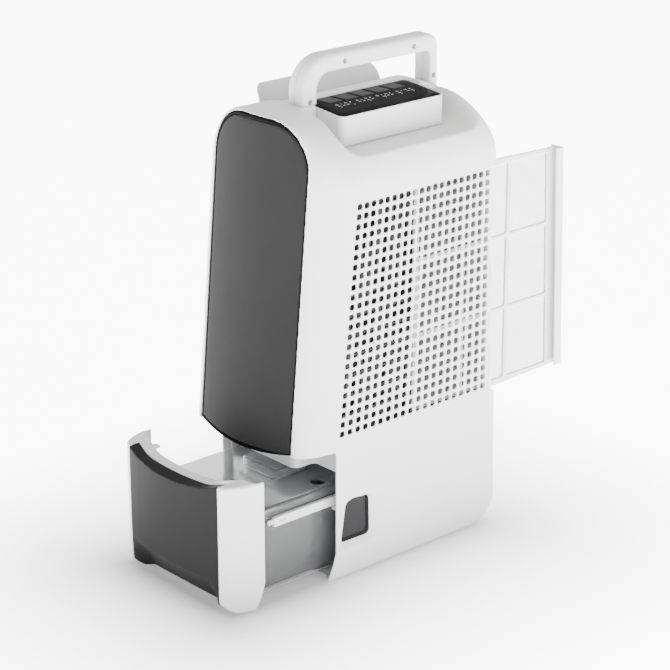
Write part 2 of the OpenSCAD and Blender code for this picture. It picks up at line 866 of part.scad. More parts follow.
module outlet_grille() {
    z = 412;
    bars = 12;
    step = (duct_y[1] - duct_y[0]) / bars;
    color(dark_grey) {
        for (x = [duct_x[0] + 1, (duct_x[0] + duct_x[1]) / 2 - 1, duct_x[1] - 3])
            box3([x, duct_y[0] + 0.1, z], [x + 2, duct_y[1] - 0.1, z + 3]);
        for (i = [0:bars])
            box3([duct_x[0] + 0.1, duct_y[0] + 0.1 + i * (step - 0.15), z],
                 [duct_x[1] - 0.1, duct_y[0] + 1.7 + i * (step - 0.15), z + 3]);
    }
}

// Plan of the blade, with its pivot line along x = 0
module flap_plan() {
    r = flap_corner[0];
    rear_r = flap_corner[1];
    x = [-flap_short, flap_w - flap_short];
    polygon(concat(
        arc([x[1] - rear_r, flap_y[1] - rear_r], rear_r, 0, 90),
        arc([x[0] + r, flap_y[1] - r], r, 90, 180, 4),
        arc([x[0] + r, flap_y[0] + r], r, 180, 270, 4),
        arc([x[1] - r, flap_y[0] + r], r, 270, 360, 4)));
}

module flap_closed() {
    end_t = 2.4;
    lug = 4.5;
    pin_len = 6;
    pin_out = 5;
    translate([flap_pivot[0], 0, flap_pivot[1]]) rotate([0, -flap_tilt, 0]) {
        translate([0, 0, flap_lift - flap_t / 2]) linear_extrude(flap_t) flap_plan();
        for (y = [flap_y[0], flap_y[1] - end_t]) {
            translate([0, y + end_t, 0]) rotate([90, 0, 0]) cylinder(h = end_t, r = lug);
            box3([-lug, y, 0], [lug, y + end_t, flap_lift]);
        }
        for (y = [flap_y[0] + pin_len - pin_out, flap_y[1] + pin_out])
            translate([0, y, 0]) rotate([90, 0, 0]) cylinder(h = pin_len, r = flap_pin_r);
    }
}

module flap() {
    color(white) translate([flap_pivot[0], 0, flap_pivot[1]]) rotate([0, -flap_open, 0])
        translate([-flap_pivot[0], 0, -flap_pivot[1]]) flap_closed();
}

module flap_motor() {
    drop = [8, -14];
    color("silver") y_cylinder(flap_pivot + drop, duct_y[1] + 2.4, duct_y[1] + 11, 10);
}

// ---- Electronics ----------------------------------------------------------

module power_board() {
    y = -109;
    color("darkgreen") box3([-52, y, 170], [18, y + 1.6, 300]);
    color(black) {
        box3([-46, y + 1.6, 180], [-20, y + 9, 206]);
        for (i = [0:3]) translate([-8 + 7 * (i % 2), y, 190 + 24 * i])
            rotate([-90, 0, 0]) cylinder(h = 11, r = 5);
        box3([-44, y + 1.6, 226], [-28, y + 10, 250]);
    }
    color("green") for (i = [0:4]) box3([-48 + 13 * i, y + 1.6, 284], [-38 + 13 * i, y + 8, 294]);
}

module humidity_sensor() {
    color("white") box3([62, -104, 300], [72, -99, 320]);
}

module float_sensor() {
    color(black) box3([-6, -6, bay_ceiling + wall], [14, 8, bay_ceiling + wall + 6]);
}

module tank_switch() {
    color(black) {
        box3([-34, bay_rear - 6, 98], [-14, bay_rear, 108]);
        box3([-28, bay_rear - 7, 100], [-20, bay_rear - 6, 106]);
    }
}

// Bushing in the rear wall where the supply lead enters
module power_inlet() {
    color(black) difference() {
        union() {
            y_cylinder([-55, 133], 126, 137, 6.9);
            y_cylinder([-55, 133], 124, 130, 9);
        }
        y_cylinder([-55, 133], 120, 140, 3.6);
    }
}

// ---- Tank drawer, drawn home; drawer() pulls it out -----------------------

tank_z = 5.4;
tank_y = [-124.6, 109];
tank_top = tank_z + tank_depth;
tank_wall = 2.2;
rail_z = [75, 85];

module drawer() {
    translate([0, -tank_out, 0]) children();
}

// Side view of the tank: its front wall slopes back behind the pull below the drawer's face
module tank_profile(top) {
    slope = [15.6, 30];
    polygon([[tank_y[0], top], [tank_y[0], tank_z + slope[1]], [tank_y[0] + slope[0], tank_z],
             [tank_y[1], tank_z], [tank_y[1], top]]);
}

module tank() {
    half = tank_w / 2;
    color(smoke) drawer() difference() {
        along_x(-half, half) tank_profile(tank_top);
        along_x(tank_wall - half, half - tank_wall) offset(delta = -tank_wall)
            tank_profile(tank_top + tank_wall + over);
    }
}

lid_top = 95;
float_pivot = [10, 84];
float_x = [-20, 16];

module tank_lid() {
    half = tank_w / 2;
    t = 2;
    hole = [55, 8, 7];
    ear = 2;
    color(smoke) drawer() difference() {
        union() {
            difference() {
                box3([-half, tank_y[0], tank_top], [half, tank_y[1], lid_top]);
                box3([-half + t, tank_y[0] + t, tank_top - over], [half - t, tank_y[1] - t, lid_top - t]);
            }
            for (x = [float_x[0] - 1 - ear, float_x[1] + 1])
                box3([x, float_pivot[0] - 4, float_pivot[1] - 4], [x + ear, float_pivot[0] + 4, lid_top - t]);
        }
        translate([hole[0], hole[1], lid_top - 5]) cylinder(h = 10, r = hole[2]);
        x_cylinder(float_pivot, float_x[0] - 5, float_x[1] + 5, 1.5 + run_gap);
    }
}

// Raised cover on the lid, over the float, with two small holes
module lid_cap() {
    lo = [-26, -22, lid_top];
    hi = [26, 20, lid_top + 11];
    color(smoke) drawer() difference() {
        box3(lo, hi);
        box3(lo + [2, 2, -over], hi - [2, 2, 2]);
        for (x = [-20, 20]) translate([x, 0, lid_top]) cylinder(h = 20, r = 1.6);
    }
}

module tank_rails() {
    half = tank_w / 2;
    color(white) drawer() for (side = [-1, 1]) difference() {
        box3([side > 0 ? half : -half - 5, -66, rail_z[0]], [side > 0 ? half + 5 : -half, 107, rail_z[1]]);
        box3([side > 0 ? half + 2 : -half - 6, -60, 79], [side > 0 ? half + 6 : -half - 2, -50, 82]);
    }
}

// Wings and face of the drawer, t inside the outer surface
module drawer_plan(t) {
    intersection() {
        polygon(front_plan(t));
        translate([-reach, -reach]) square([2 * reach, reach + side_front_y - 0.6]);
    }
}

front_z = [3, 138];
face_top = 128;
pull_z = 37;           // under this the face slopes back, for the fingers
pull_y = -113.6;       // where the slope ends

// The drawer's face, t inside its outer surface, with the slope below it
module face_block(t) {
    sheet = 0.01;
    translate([0, 0, pull_z - sheet]) linear_extrude(reach) drawer_plan(t);
    hull() {
        translate([0, 0, pull_z - sheet]) linear_extrude(sheet) drawer_plan(t);
        translate([0, 0, front_z[0] - sheet]) linear_extrude(sheet)
            translate([t - half_w, pull_y + t]) square([2 * (half_w - t), side_front_y - pull_y - t]);
    }
}

module tank_front() {
    skin = 2.6;
    panel_skin = 2.6;
    color(white) drawer() difference() {
        union() {
            translate([0, 0, front_z[0]]) linear_extrude(front_z[1] - front_z[0]) difference() {
                drawer_plan(0);
                drawer_plan(skin + panel_skin);
                translate([-panel_half, -reach]) square([2 * panel_half, reach]);
            }
            // seat behind the dark face
            intersection() {
                difference() {
                    face_block(panel_skin);
                    face_block(panel_skin + skin);
                }
                box3([-panel_half - over, -reach, front_z[0]], [panel_half + over, -100, front_z[1]]);
            }
            // flange behind the face's upper edge
            translate([0, 0, face_top - 2.4]) linear_extrude(2.4) intersection() {
                drawer_plan(panel_skin + 0.2);
                difference() {
                    translate([-panel_half, -reach]) square([2 * panel_half, reach - 112.6]);
                    polygon(arc([0, bow_cy + 24], bow_r, 240, 300));
                }
            }
        }
        // the wings are thinner than the face, and their rear edge follows the shell
        linear_extrude(reach) difference() {
            drawer_plan(skin);
            translate([-panel_half - 6, -reach]) square([2 * panel_half + 12, reach]);
        }
        translate([0, -0.6, 0]) along_x(-half_w - over, half_w + over) polygon(concat(
            [[side_front_y + 5, 0], [-99.8, 0], [-96.2, 9], [-91.6, 18.5], [side_front_y, 29]],
            arc([side_front_y - 5, front_z[1] - 5], 5, 0, 90, 4),
            [[side_front_y - 5, reach], [side_front_y + 5, reach]]));
        // room for the dark face, and the dip between the wings
        difference() {
            box3([-panel_half, -reach, 0], [panel_half, -100, reach]);
            face_block(panel_skin);
            box3([-reach, pull_y + panel_skin, -over], [reach, 0, front_z[0]]);
        }
        along_y(-reach, -60) polygon([
            [-66, reach], [-66, front_z[1]], [-60, face_top], [60, face_top], [66, front_z[1]], [66, reach]]);
    }
}

module tank_front_panel() {
    skin = 2.4;
    half = panel_half - 0.2;
    color(dark_grey) drawer() intersection() {
        difference() {
            face_block(0);
            face_block(skin);
        }
        box3([-half, -reach, front_z[0] + 2], [half, -100, face_top - 1]);
    }
}

module float() {
    color("ivory") drawer() {
        box3([float_x[0], float_pivot[0] - 58, 58], [float_x[1], float_pivot[0] - 20, 72]);
        for (x = [float_x[0], float_x[1] - 3])
            box3([x, float_pivot[0] - 26, 70], [x + 3, float_pivot[0] + 2.5, float_pivot[1] + 2.5]);
        x_cylinder(float_pivot, float_x[0] - 2.8, float_x[1] + 2.8, 1.5);
    }
}

module float_magnet() {
    color("silver") drawer() box3([-6, float_pivot[0] - 44, 72], [6, float_pivot[0] - 34, 75]);
}

// ---- Filter, drawn home; filter_drawn() pulls it out ----------------------

module filter_drawn() {
    translate([0, filter_out, 0]) children();
}

filter_front = filter_rear[0] - filter_len;
filter_rim = 7;
filter_rib = 4;
filter_grip = 17;      // solid strip at the grip
filter_columns = 3;
filter_rows = 3;
filter_cell = [(filter_len - filter_rim - filter_grip + filter_rib) / filter_columns,
               (filter_h - 2 * filter_rim + filter_rib) / filter_rows];

// Side view of the filter, ending a little short of the grip's slanted outer face
module filter_side(short) {
    polygon([
        [filter_front, filter_z], [filter_rear[0] - short, filter_z],
        [filter_rear[1] - short, filter_z + filter_h], [filter_front, filter_z + filter_h]]);
}

// The windows of the frame, in a side view
module filter_windows() {
    intersection() {
        for (column = [0:filter_columns - 1], row = [0:filter_rows - 1])
            translate([filter_front + filter_rim, filter_z + filter_rim])
                translate([column * filter_cell[0], row * filter_cell[1]])
                    square(filter_cell - [filter_rib, filter_rib]);
        filter_side(filter_grip);
    }
}

module filter_frame() {
    grip_t = 2.6;
    lip_t = 2.3;
    lip_len = 10;
    outer_x = half_w - 0.5;
    color(white) filter_drawn() {
        along_x(filter_x - filter_t / 2, filter_x + filter_t / 2) difference() {
            filter_side(grip_t / 2);
            filter_windows();
        }
        // grip flange that closes the notch in the shell's rear corner
        along_x(notch_x + 1.5, outer_x) difference() {
            filter_side(0);
            filter_side(grip_t);
        }
        along_x(outer_x - lip_t, outer_x) difference() {
            filter_side(grip_t / 2);
            filter_side(lip_len);
        }
    }
}

module filter_mesh() {
    net_t = 0.6;
    color("gainsboro") filter_drawn() along_x(filter_x - net_t / 2, filter_x + net_t / 2) filter_windows();
}

// ---- Parts shown ----------------------------------------------------------

right_shell();
left_shell();
front_panel();
front_trim();
chassis();
base_tray();
feet();
tank_window();
handle_right();
handle_left();
handle_screws();
base_screws();
control_box();
control_glass();
display_board();
filter_guides();
intake_grid();
condenser();
drip_tray();
wheel_frame();
wheel_axle();
heater_box();
heater_coil();
thermal_fuse();
wheel_motor();
fan_scroll();
fan_inlet_plate();
fan_motor();
outlet_duct();
outlet_grille();
flap_motor();
regen_scroll();
regen_motor();
power_board();
humidity_sensor();
float_sensor();
tank_switch();
power_inlet();
tank();
tank_lid();
tank_rails();
lid_cap();
tank_front();
tank_front_panel();
float();
float_magnet();
filter_frame();
filter_mesh();
flap();
fan_wheel();
fan_shaft();
regen_wheel();
desiccant_wheel();
wheel_rim();
pinion();
button(0);  // button_1
button(1);  // button_2
button(2);  // button_3
button(3);  // button_4
button(4);  // button_5
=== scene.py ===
"""The looks of the dehumidifier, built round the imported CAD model.

Shells and mouldings are sampled as signed distances in millimetres, so every edge
gets its own rounding, and are then turned into meshes in metres. Negative is inside.
"""
import json
import math

import bmesh
import bpy
import numpy as np
import openvdb
from mathutils import Matrix, Vector


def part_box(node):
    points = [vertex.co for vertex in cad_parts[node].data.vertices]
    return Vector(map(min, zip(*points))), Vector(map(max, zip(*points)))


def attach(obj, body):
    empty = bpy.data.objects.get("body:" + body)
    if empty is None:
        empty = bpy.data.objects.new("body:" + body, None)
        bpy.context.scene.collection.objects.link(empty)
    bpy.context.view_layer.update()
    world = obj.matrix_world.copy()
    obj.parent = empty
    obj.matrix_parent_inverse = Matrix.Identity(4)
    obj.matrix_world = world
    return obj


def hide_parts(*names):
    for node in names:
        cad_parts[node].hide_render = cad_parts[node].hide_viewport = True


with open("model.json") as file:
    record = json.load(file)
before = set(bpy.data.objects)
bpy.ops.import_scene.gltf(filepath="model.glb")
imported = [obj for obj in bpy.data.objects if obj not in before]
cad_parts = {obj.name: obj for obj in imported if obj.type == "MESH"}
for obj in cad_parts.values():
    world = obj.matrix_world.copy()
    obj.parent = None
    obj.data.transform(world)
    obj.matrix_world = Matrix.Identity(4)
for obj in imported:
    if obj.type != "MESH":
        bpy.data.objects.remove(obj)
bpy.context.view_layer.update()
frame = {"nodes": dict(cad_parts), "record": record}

MM = 0.001
FLATTEN = 0.02              # how far meshing may merge flat faces


def mm_box(node):
    """Lowest and highest corner of a CAD node, in millimetres."""
    lo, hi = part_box(node)
    return np.array(lo) / MM, np.array(hi) / MM


# ---- The body's driving dimensions, in millimetres --------------------------

SHELL = mm_box("right_shell")
HALF_W = SHELL[1][0]
TOP = SHELL[1][2]
BOTTOM = SHELL[0][2]
SHELL_T = 2.5
SHOULDER_R = 67.0

PANEL = mm_box("front_trim")
PANEL_HALF = PANEL[1][0]
PANEL_TOP = 461.5
PANEL_R = 46.0              # its two upper corners
PANEL_SAG = 7.0             # how far the middle of its lower edge hangs down
PANEL_GAP = 2.0             # from the top of the bay to the ends of that edge
PANEL_Y = -131.0            # its side edges, at the height of BAY_TOP
PANEL_BACK_Y = -96.0        # a plane behind the whole leaning front
BOW = 8.6                   # its middle stands this far in front of its edges
BAY_TOP = 138.5
BAY_HALF = 82.0             # inner half width of the tank bay
FAR_FRONT_Y = -200.0        # a plane in front of everything
LEAN = math.tan(math.radians(5.1))
ROLL_DEPTH = 2.04           # depth of the roll-off round the panel, over its width

REAR_Y = SHELL[1][1]
REAR_FOOT_Z = 35.5
REAR_LEAN = 9 / 392.5
FOOT_R = 34.0
CROWN_R = 36.0
REAR_R = 5.0                # the two vertical corners
EDGE_R = 1.5                # the edge along the bottom


# ---- Signed-distance tools ---------------------------------------------------

def both(a, b, r=0.0):
    """What is inside both, with the edge between them rounded to radius r."""
    if np.isscalar(r) and r == 0:
        return np.maximum(a, b)
    outside = np.hypot(np.maximum(a + r, 0), np.maximum(b + r, 0))
    return np.minimum(np.maximum(a, b), -r) + outside


def either(a, b, r=0.0):
    """What is inside one or the other, with the inner corner filled to radius r."""
    return -both(-a, -b, r)


def less(a, b, r=0.0):
    """a with b cut out of it, the new edge rounded to radius r."""
    return both(a, -b, r)


def slab(v, lo, hi):
    return np.abs(v - (lo + hi) / 2) - (hi - lo) / 2


def rectangle(u, v, lo, hi, r=0.0):
    """A rectangle in two directions with corners of radius r."""
    du = slab(u, lo[0], hi[0]) + r
    dv = slab(v, lo[1], hi[1]) + r
    return np.minimum(np.maximum(du, dv), 0) + np.hypot(np.maximum(du, 0), np.maximum(dv, 0)) - r


def block(x, y, z, lo, hi, r=0.0):
    """A box with all its edges rounded to radius r."""
    d = [slab(v, lo[i], hi[i]) + r for i, v in enumerate((x, y, z))]
    near = np.minimum(np.maximum(np.maximum(d[0], d[1]), d[2]), 0)
    return near + np.sqrt(sum(np.maximum(e, 0) ** 2 for e in d)) - r


def disc(u, v, c, r):
    return np.hypot(u - c[0], v - c[1]) - r


def outline(points, u, v):
    """Signed distance to a closed outline of straight pieces."""
    u, v = np.broadcast_arrays(u, v)
    best = np.full(u.shape, np.inf)
    inside = np.zeros(u.shape, bool)
    p = np.asarray(points, float)
    for (au, av), (bu, bv) in zip(p, np.roll(p, -1, 0)):
        eu, ev = bu - au, bv - av
        wu, wv = u - au, v - av
        t = np.clip((wu * eu + wv * ev) / (eu * eu + ev * ev), 0, 1)
        best = np.minimum(best, (wu - eu * t) ** 2 + (wv - ev * t) ** 2)
        if av != bv:
            inside ^= ((av <= v) != (bv <= v)) & (wu < wv * eu / ev)
    return np.where(inside, -1, 1) * np.sqrt(best)


def arc(c, r, a0, a1, n=16):
    """Points along an arc, angles in degrees."""
    angles = np.radians(np.linspace(a0, a1, n + 1))
    return [(c[0] + r * math.cos(a), c[1] + r * math.sin(a)) for a in angles]


def chain(*bits):
    """Joins stretches of an outline into one."""
    return [p for bit in bits for p in bit]


def smooth(t):
    t = np.clip(t, 0, 1)
    return t * t * (3 - 2 * t)


def mesh_object(name, points, faces, angle=35):
    """A mesh object from points in millimetres, smooth but for edges over angle."""
    mesh = bpy.data.meshes.new(name)
    mesh.from_pydata([tuple(p) for p in np.asarray(points) * MM], [], [tuple(f) for f in faces])
    mesh.update()
    obj = bpy.data.objects.new(name, mesh)
    bpy.context.scene.collection.objects.link(obj)
    mesh.shade_smooth()
    if angle:
        mesh.set_sharp_from_angle(angle=math.radians(angle))
    return obj


def moulded(name, lo, hi, field, step=1.25, flatten=0.0, angle=35):
    """Meshes the field inside the box from lo to hi, sampled every step millimetres."""
    margin = 2.5 * step
    counts = [int(math.ceil((hi[i] - lo[i] + 2 * margin) / step)) + 1 for i in range(3)]
    axes = []
    for i, n in enumerate(counts):
        shape = [1, 1, 1]
        shape[i] = n
        axes.append((lo[i] - margin + step * np.arange(n)).reshape(shape))
    d = np.clip(np.broadcast_to(field(*axes), counts), -3 * step, 3 * step)
    grid = openvdb.FloatGrid(3 * step)
    grid.copyFromArray(np.ascontiguousarray(d, np.float32))
    points, triangles, quads = grid.convertToPolygons(isovalue=0.0, adaptivity=flatten)
    points = np.asarray(points) * step + np.array(lo) - margin
    faces = [f[::-1] for f in quads.tolist()] + [f[::-1] for f in triangles.tolist()]
    return mesh_object(name, points, faces, angle)


# ---- The body's outer surface -----------------------------------------------

def tombstone(x, z, half, top, r, t=0.0):
    """Two flat sides and a flat top with corners of radius r between them, t inside the edge."""
    qx = np.abs(x) - (half - r)
    qz = z - (top - r)
    outside = np.hypot(np.maximum(qx, 0), np.maximum(qz, 0))
    return outside + np.minimum(np.maximum(qx, qz), 0) - (r - t)


def arch(x, z):
    """Front view of the body: flat sides and two wide shoulders."""
    return tombstone(x, z, HALF_W, TOP, SHOULDER_R)


def panel_outline(x, z, t=0.0):
    """Front view of the dark panel, t inside its edge, without its lower edge."""
    return tombstone(x, z, PANEL_HALF, PANEL_TOP, PANEL_R, t)


def bow_radius(rise):
    """Radius of an arc as wide as the panel whose middle rises this far."""
    return (PANEL_HALF ** 2 + rise ** 2) / (2 * rise)


def panel_bottom(x, z, t=0.0):
    """Below the sagging lower edge of the dark panel is outside."""
    r = bow_radius(PANEL_SAG)
    return np.hypot(x, z - (BAY_TOP + PANEL_GAP + r - PANEL_SAG)) - (r - t)


def bowed_y(x):
    """Where the bowed front is across its width, at the height of BAY_TOP."""
    r = bow_radius(BOW)
    return PANEL_Y - BOW + r - np.sqrt(r * r - np.minimum(np.abs(x), PANEL_HALF) ** 2)


def front_y(x, z):
    """Where the front face is: leaning, bowed, and rolled back round the dark panel."""
    out = np.maximum(panel_outline(x, z), 0)
    band = np.maximum(out - arch(x, z), 1e-3)
    f = np.clip(out / band, 0, 1)
    depth = ROLL_DEPTH * band
    return bowed_y(x) + LEAN * (z - BAY_TOP) + depth * (1 - np.sqrt(np.maximum(1 - f * f, 0)))


def front(x, y, z):
    """Distance in front of the front face."""
    face = front_y(x, z)
    step_x = x.reshape(-1)[1] - x.reshape(-1)[0]
    step_z = z.reshape(-1)[1] - z.reshape(-1)[0]
    gx = np.gradient(face, step_x, axis=0)
    gz = np.gradient(face, step_z, axis=2)
    steepest = 30
    slope = np.sqrt(1 + np.minimum(gx * gx + gz * gz, steepest))
    return (face - y) / slope


def rear(y, z):
    """Distance behind the rear wall."""
    return (y - REAR_Y + REAR_LEAN * (z - REAR_FOOT_Z)) / math.hypot(1, REAR_LEAN)


def body(x, y, z):
    """The body's whole outer surface."""
    back = rear(y, z)
    below = BOTTOM - z
    foot = both(back, below, FOOT_R)
    sides = arch(x, z)
    up = smooth((z - (TOP - SHOULDER_R)) / SHOULDER_R - 0.1)
    turned = np.clip((back - below) / FOOT_R * 0.5 + 0.5, 0, 1)
    radius = EDGE_R + (REAR_R - EDGE_R) * turned + (CROWN_R - REAR_R) * up
    return np.maximum(both(sides, foot, radius), front(x, y, z))


# ---- Materials ------------------------------------------------------------------------

def material(name, colour, rough, mottle=0.03, grain=0.0, grain_scale=900.0, wear=0.04, **sockets):
    """A procedural plastic, metal or glass: faint mottling, uneven gloss and a fine moulded grain."""
    made = bpy.data.materials.new(name)
    made.use_nodes = True
    nodes, links = made.node_tree.nodes, made.node_tree.links
    shader = nodes["Principled BSDF"]
    place = nodes.new("ShaderNodeTexCoord")

    cloud = nodes.new("ShaderNodeTexNoise")
    cloud.inputs["Scale"].default_value = 14
    cloud.inputs["Detail"].default_value = 5
    links.new(place.outputs["Object"], cloud.inputs["Vector"])
    ramp = nodes.new("ShaderNodeValToRGB")
    ramp.color_ramp.elements[0].position = 0.3
    ramp.color_ramp.elements[1].position = 0.7
    ramp.color_ramp.elements[0].color = [c * (1 - mottle) for c in colour] + [1]
    ramp.color_ramp.elements[1].color = [min(1, c * (1 + mottle)) for c in colour] + [1]
    links.new(cloud.outputs["Fac"], ramp.inputs["Fac"])
    links.new(ramp.outputs["Color"], shader.inputs["Base Color"])

    smear = nodes.new("ShaderNodeTexNoise")
    smear.inputs["Scale"].default_value = 45
    smear.inputs["Detail"].default_value = 4
    links.new(place.outputs["Object"], smear.inputs["Vector"])
    gloss = nodes.new("ShaderNodeMapRange")
    gloss.inputs["To Min"].default_value = max(0.0, rough - wear)
    gloss.inputs["To Max"].default_value = rough + wear
    links.new(smear.outputs["Fac"], gloss.inputs["Value"])
    links.new(gloss.outputs["Result"], shader.inputs["Roughness"])

    if grain:
        fine = nodes.new("ShaderNodeTexNoise")
        fine.inputs["Scale"].default_value = grain_scale
        fine.inputs["Detail"].default_value = 3
        links.new(place.outputs["Object"], fine.inputs["Vector"])
        bump = nodes.new("ShaderNodeBump")
        bump.inputs["Strength"].default_value = grain
        bump.inputs["Distance"].default_value = 0.0002
        links.new(fine.outputs["Fac"], bump.inputs["Height"])
        links.new(bump.outputs["Normal"], shader.inputs["Normal"])
    for socket, value in sockets.items():
        shader.inputs[socket.replace("_", " ")].default_value = value
    return made


MATERIALS = {
    "white": material("white_satin", (0.67, 0.67, 0.665), 0.38, 0.008, 0.10),
    "dark": material("dark_satin", (0.017, 0.017, 0.0175), 0.45, 0.05, 0.18,
                     Specular_IOR_Level=0.02),
    "gloss": material("black_gloss", (0.004, 0.004, 0.0045), 0.14, 0.05, wear=0.03,
                      Specular_IOR_Level=0.008),
    "grey": material("light_grey_matte", (0.46, 0.465, 0.47), 0.5, 0.02, 0.15),
    "smoke": material("smoke_clear", (0.66, 0.665, 0.675), 0.14, 0.01, wear=0.03,
                      Transmission_Weight=0.92, IOR=1.16),
    "charcoal": material("charcoal_matte", (0.02, 0.02, 0.022), 0.55, 0.06, 0.2,
                         Specular_IOR_Level=0.25),
    # Painted shade: a dark grey for the parts seen through the grille, in place of their own finish
    "inner": material("painted_shade_grey", (0.055, 0.055, 0.057), 0.6, 0.06, 0.2, Specular_IOR_Level=0.2),
    "rubber": material("soft_rubber", (0.006, 0.006, 0.006), 0.8, 0.1, 0.4, 500,
                       Specular_IOR_Level=0.15),
    "steel": material("zinc_steel", (0.42, 0.42, 0.43), 0.32, 0.08, 0.1, 400, Metallic=1.0),
    "aluminium": material("aluminium_fins", (0.62, 0.63, 0.64), 0.38, 0.06, 0.2, 600, Metallic=1.0),
    "coil": material("coil_alloy", (0.28, 0.16, 0.09), 0.4, 0.25, 0.2, 600, Metallic=1.0),
    "ceramic": material("ceramic_paper", (0.55, 0.53, 0.47), 0.85, 0.12, 0.6, 350),
    "acetal": material("acetal", (0.70, 0.69, 0.65), 0.45, 0.03, 0.1),
    "board": material("circuit_board", (0.012, 0.10, 0.035), 0.3, 0.35, 0.2, 300),
    "sensor": material("sensor_black", (0.02, 0.02, 0.022), 0.5, 0.08, 0.2),
    "foam": material("float_foam", (0.74, 0.71, 0.64), 0.9, 0.06, 0.7, 260),
    "net": material("nylon_net", (0.26, 0.262, 0.265), 0.5, 0.03, 0.1),
    "key": material("key_grey", (0.016, 0.016, 0.017), 0.3, 0.05, 0.05, Specular_IOR_Level=0.06),
    "window": material("window_glass", (0.021, 0.021, 0.022), 0.18, 0.05, wear=0.03,
                       Specular_IOR_Level=0.06),
    "print": material("white_print", (0.62, 0.62, 0.62), 0.5, 0.03),
}

CAD_FINISH = {
    "white_shell": "white", "dark_panel": "dark", "black_gloss": "gloss", "grey_plastic": "grey",
    "smoke_clear": "smoke", "dark_plastic": "charcoal", "soft_rubber": "rubber", "steel": "steel",
    "aluminium_core": "aluminium", "coil_alloy": "coil", "ceramic_core": "ceramic",
    "gear_plastic": "acetal", "board": "board", "sensor_plastic": "sensor",
    "float_foam": "foam", "filter_net": "net",
}

# Nodes that show through the grille get a dark grey of painted shade, so that its holes look shaded
PAINTED_SHADE_NODES = {"intake_grid", "filter_guides", "wheel_frame", "drip_tray", "condenser"}


def dress_cad_nodes():
    """Every CAD node gets the finish of its own material slot, but for those behind the grille, which get
    painted shade.
    """
    for part in frame["record"]["subparts"]:
        obj = frame["nodes"][part["node"]]
        finish = MATERIALS["inner" if part["node"] in PAINTED_SHADE_NODES else CAD_FINISH[part["material_slot"]]]
        if not obj.material_slots:
            obj.data.materials.append(finish)
        for slot in obj.material_slots:
            slot.material = finish


def dress(obj, body_name, slot, finish, *nodes):
    """Puts a piece on its body, in place of CAD nodes, with its material. The slot is not used."""
    obj.data.materials.clear()
    obj.data.materials.append(MATERIALS[finish])
    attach(obj, body_name)
    if nodes:
        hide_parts(*nodes)
    return obj


# ---- Camera, floor and light ---------------------------------------------------------

def aim(obj, target):
    obj.rotation_euler = (Vector(target) - obj.location).to_track_quat("-Z", "Y").to_euler()


def camera():
    data = bpy.data.cameras.new("camera")
    obj = bpy.data.objects.new("camera", data)
    bpy.context.scene.collection.objects.link(obj)
    data.sensor_width = 36
    data.lens = 121.49
    target = Vector((-0.01224, 0, 0.21058))
    azimuth, elevation, distance = math.radians(48.08), math.radians(20.4), 2.29897
    back = Vector((math.sin(azimuth) * math.cos(elevation), -math.cos(azimuth) * math.cos(elevation),
                   math.sin(elevation)))
    obj.location = target + back * distance
    aim(obj, target)
    data.clip_end = 50
    bpy.context.scene.camera = obj


def area_light(name, location, target, size, power):
    data = bpy.data.lights.new(name, "AREA")
    data.shape = "RECTANGLE"
    data.size, data.size_y = size
    data.energy = power
    obj = bpy.data.objects.new(name, data)
    bpy.context.scene.collection.objects.link(obj)
    obj.location = location
    aim(obj, target)


def backdrop_material():
    """A white studio floor that glows softly, with a painted shadow round the foot of the object."""
    made = material("floor_white", (0.86, 0.86, 0.86), 0.8, 0.005, Emission_Color=(1, 1, 1, 1))
    nodes, links = made.node_tree.nodes, made.node_tree.links
    shader = nodes["Principled BSDF"]
    # The patch round the object's footprint where the floor gets its painted shadow
    foot = [(-0.08, -0.215, 0), (0.08, 0.1, 0)]
    middle = [(a + b) / 2 for a, b in zip(*foot)]
    half = [(b - a) / 2 for a, b in zip(*foot)]
    last = nodes.new("ShaderNodeTexCoord").outputs["Object"]
    for operation, value in (("SUBTRACT", middle), ("ABSOLUTE", None), ("SUBTRACT", half),
                             ("MAXIMUM", (0, 0, 0)), ("LENGTH", None)):
        step = nodes.new("ShaderNodeVectorMath")
        step.operation = operation
        links.new(last, step.inputs[0])
        if value is not None:
            step.inputs[1].default_value = value
        last = step.outputs["Value" if operation == "LENGTH" else "Vector"]
    # Painted shadow: near that patch the floor's glow and its colour both fall darker, far from it the
    # floor glows white
    painted_shadow_fades = (("Emission Strength", 0.3, 0.25, 9.0), ("Base Color", 0.05, 0.5, 0.86))
    for socket, reach, low, high in painted_shadow_fades:
        fade = nodes.new("ShaderNodeMapRange")
        fade.interpolation_type = "LINEAR"
        fade.inputs["From Max"].default_value = reach
        fade.inputs["To Min"].default_value = low
        fade.inputs["To Max"].default_value = high
        links.new(last, fade.inputs["Value"])
        links.new(fade.outputs["Result"], shader.inputs[socket])
    return made


def sky():
    """Bright round the horizon, dimmer overhead."""
    world = bpy.data.worlds.new("studio")
    bpy.context.scene.world = world
    world.use_nodes = True
    nodes, links = world.node_tree.nodes, world.node_tree.links
    place = nodes.new("ShaderNodeTexCoord")
    split = nodes.new("ShaderNodeSeparateXYZ")
    fade = nodes.new("ShaderNodeMapRange")
    fade.inputs["To Min"].default_value = 2.0
    fade.inputs["To Max"].default_value = 0.7
    links.new(place.outputs["Generated"], split.inputs[0])
    links.new(split.outputs["Z"], fade.inputs["Value"])
    links.new(fade.outputs["Result"], nodes["Background"].inputs["Strength"])
    nodes["Background"].inputs["Color"].default_value = (1, 1, 1, 1)


def studio():
    far = 9000
    corners = [(-far, -far, 0), (far, -far, 0), (far, far, 0), (-far, far, 0)]
    floor = mesh_object("floor", corners, [(0, 1, 2, 3)], 0)
    floor.data.materials.append(backdrop_material())
    sky()
    middle = (0, 0, 0.25)
    area_light("key", (2.4, 0.5, 1.2), middle, (1.4, 1.4), 36)
    area_light("top", (-0.6, 0.6, 2.6), middle, (1.6, 1.6), 26)
    area_light("front_fill", (-1.4, -2.2, 0.9), middle, (1.4, 1.0), 10)


# ---- Shells --------------------------------------------------------------------

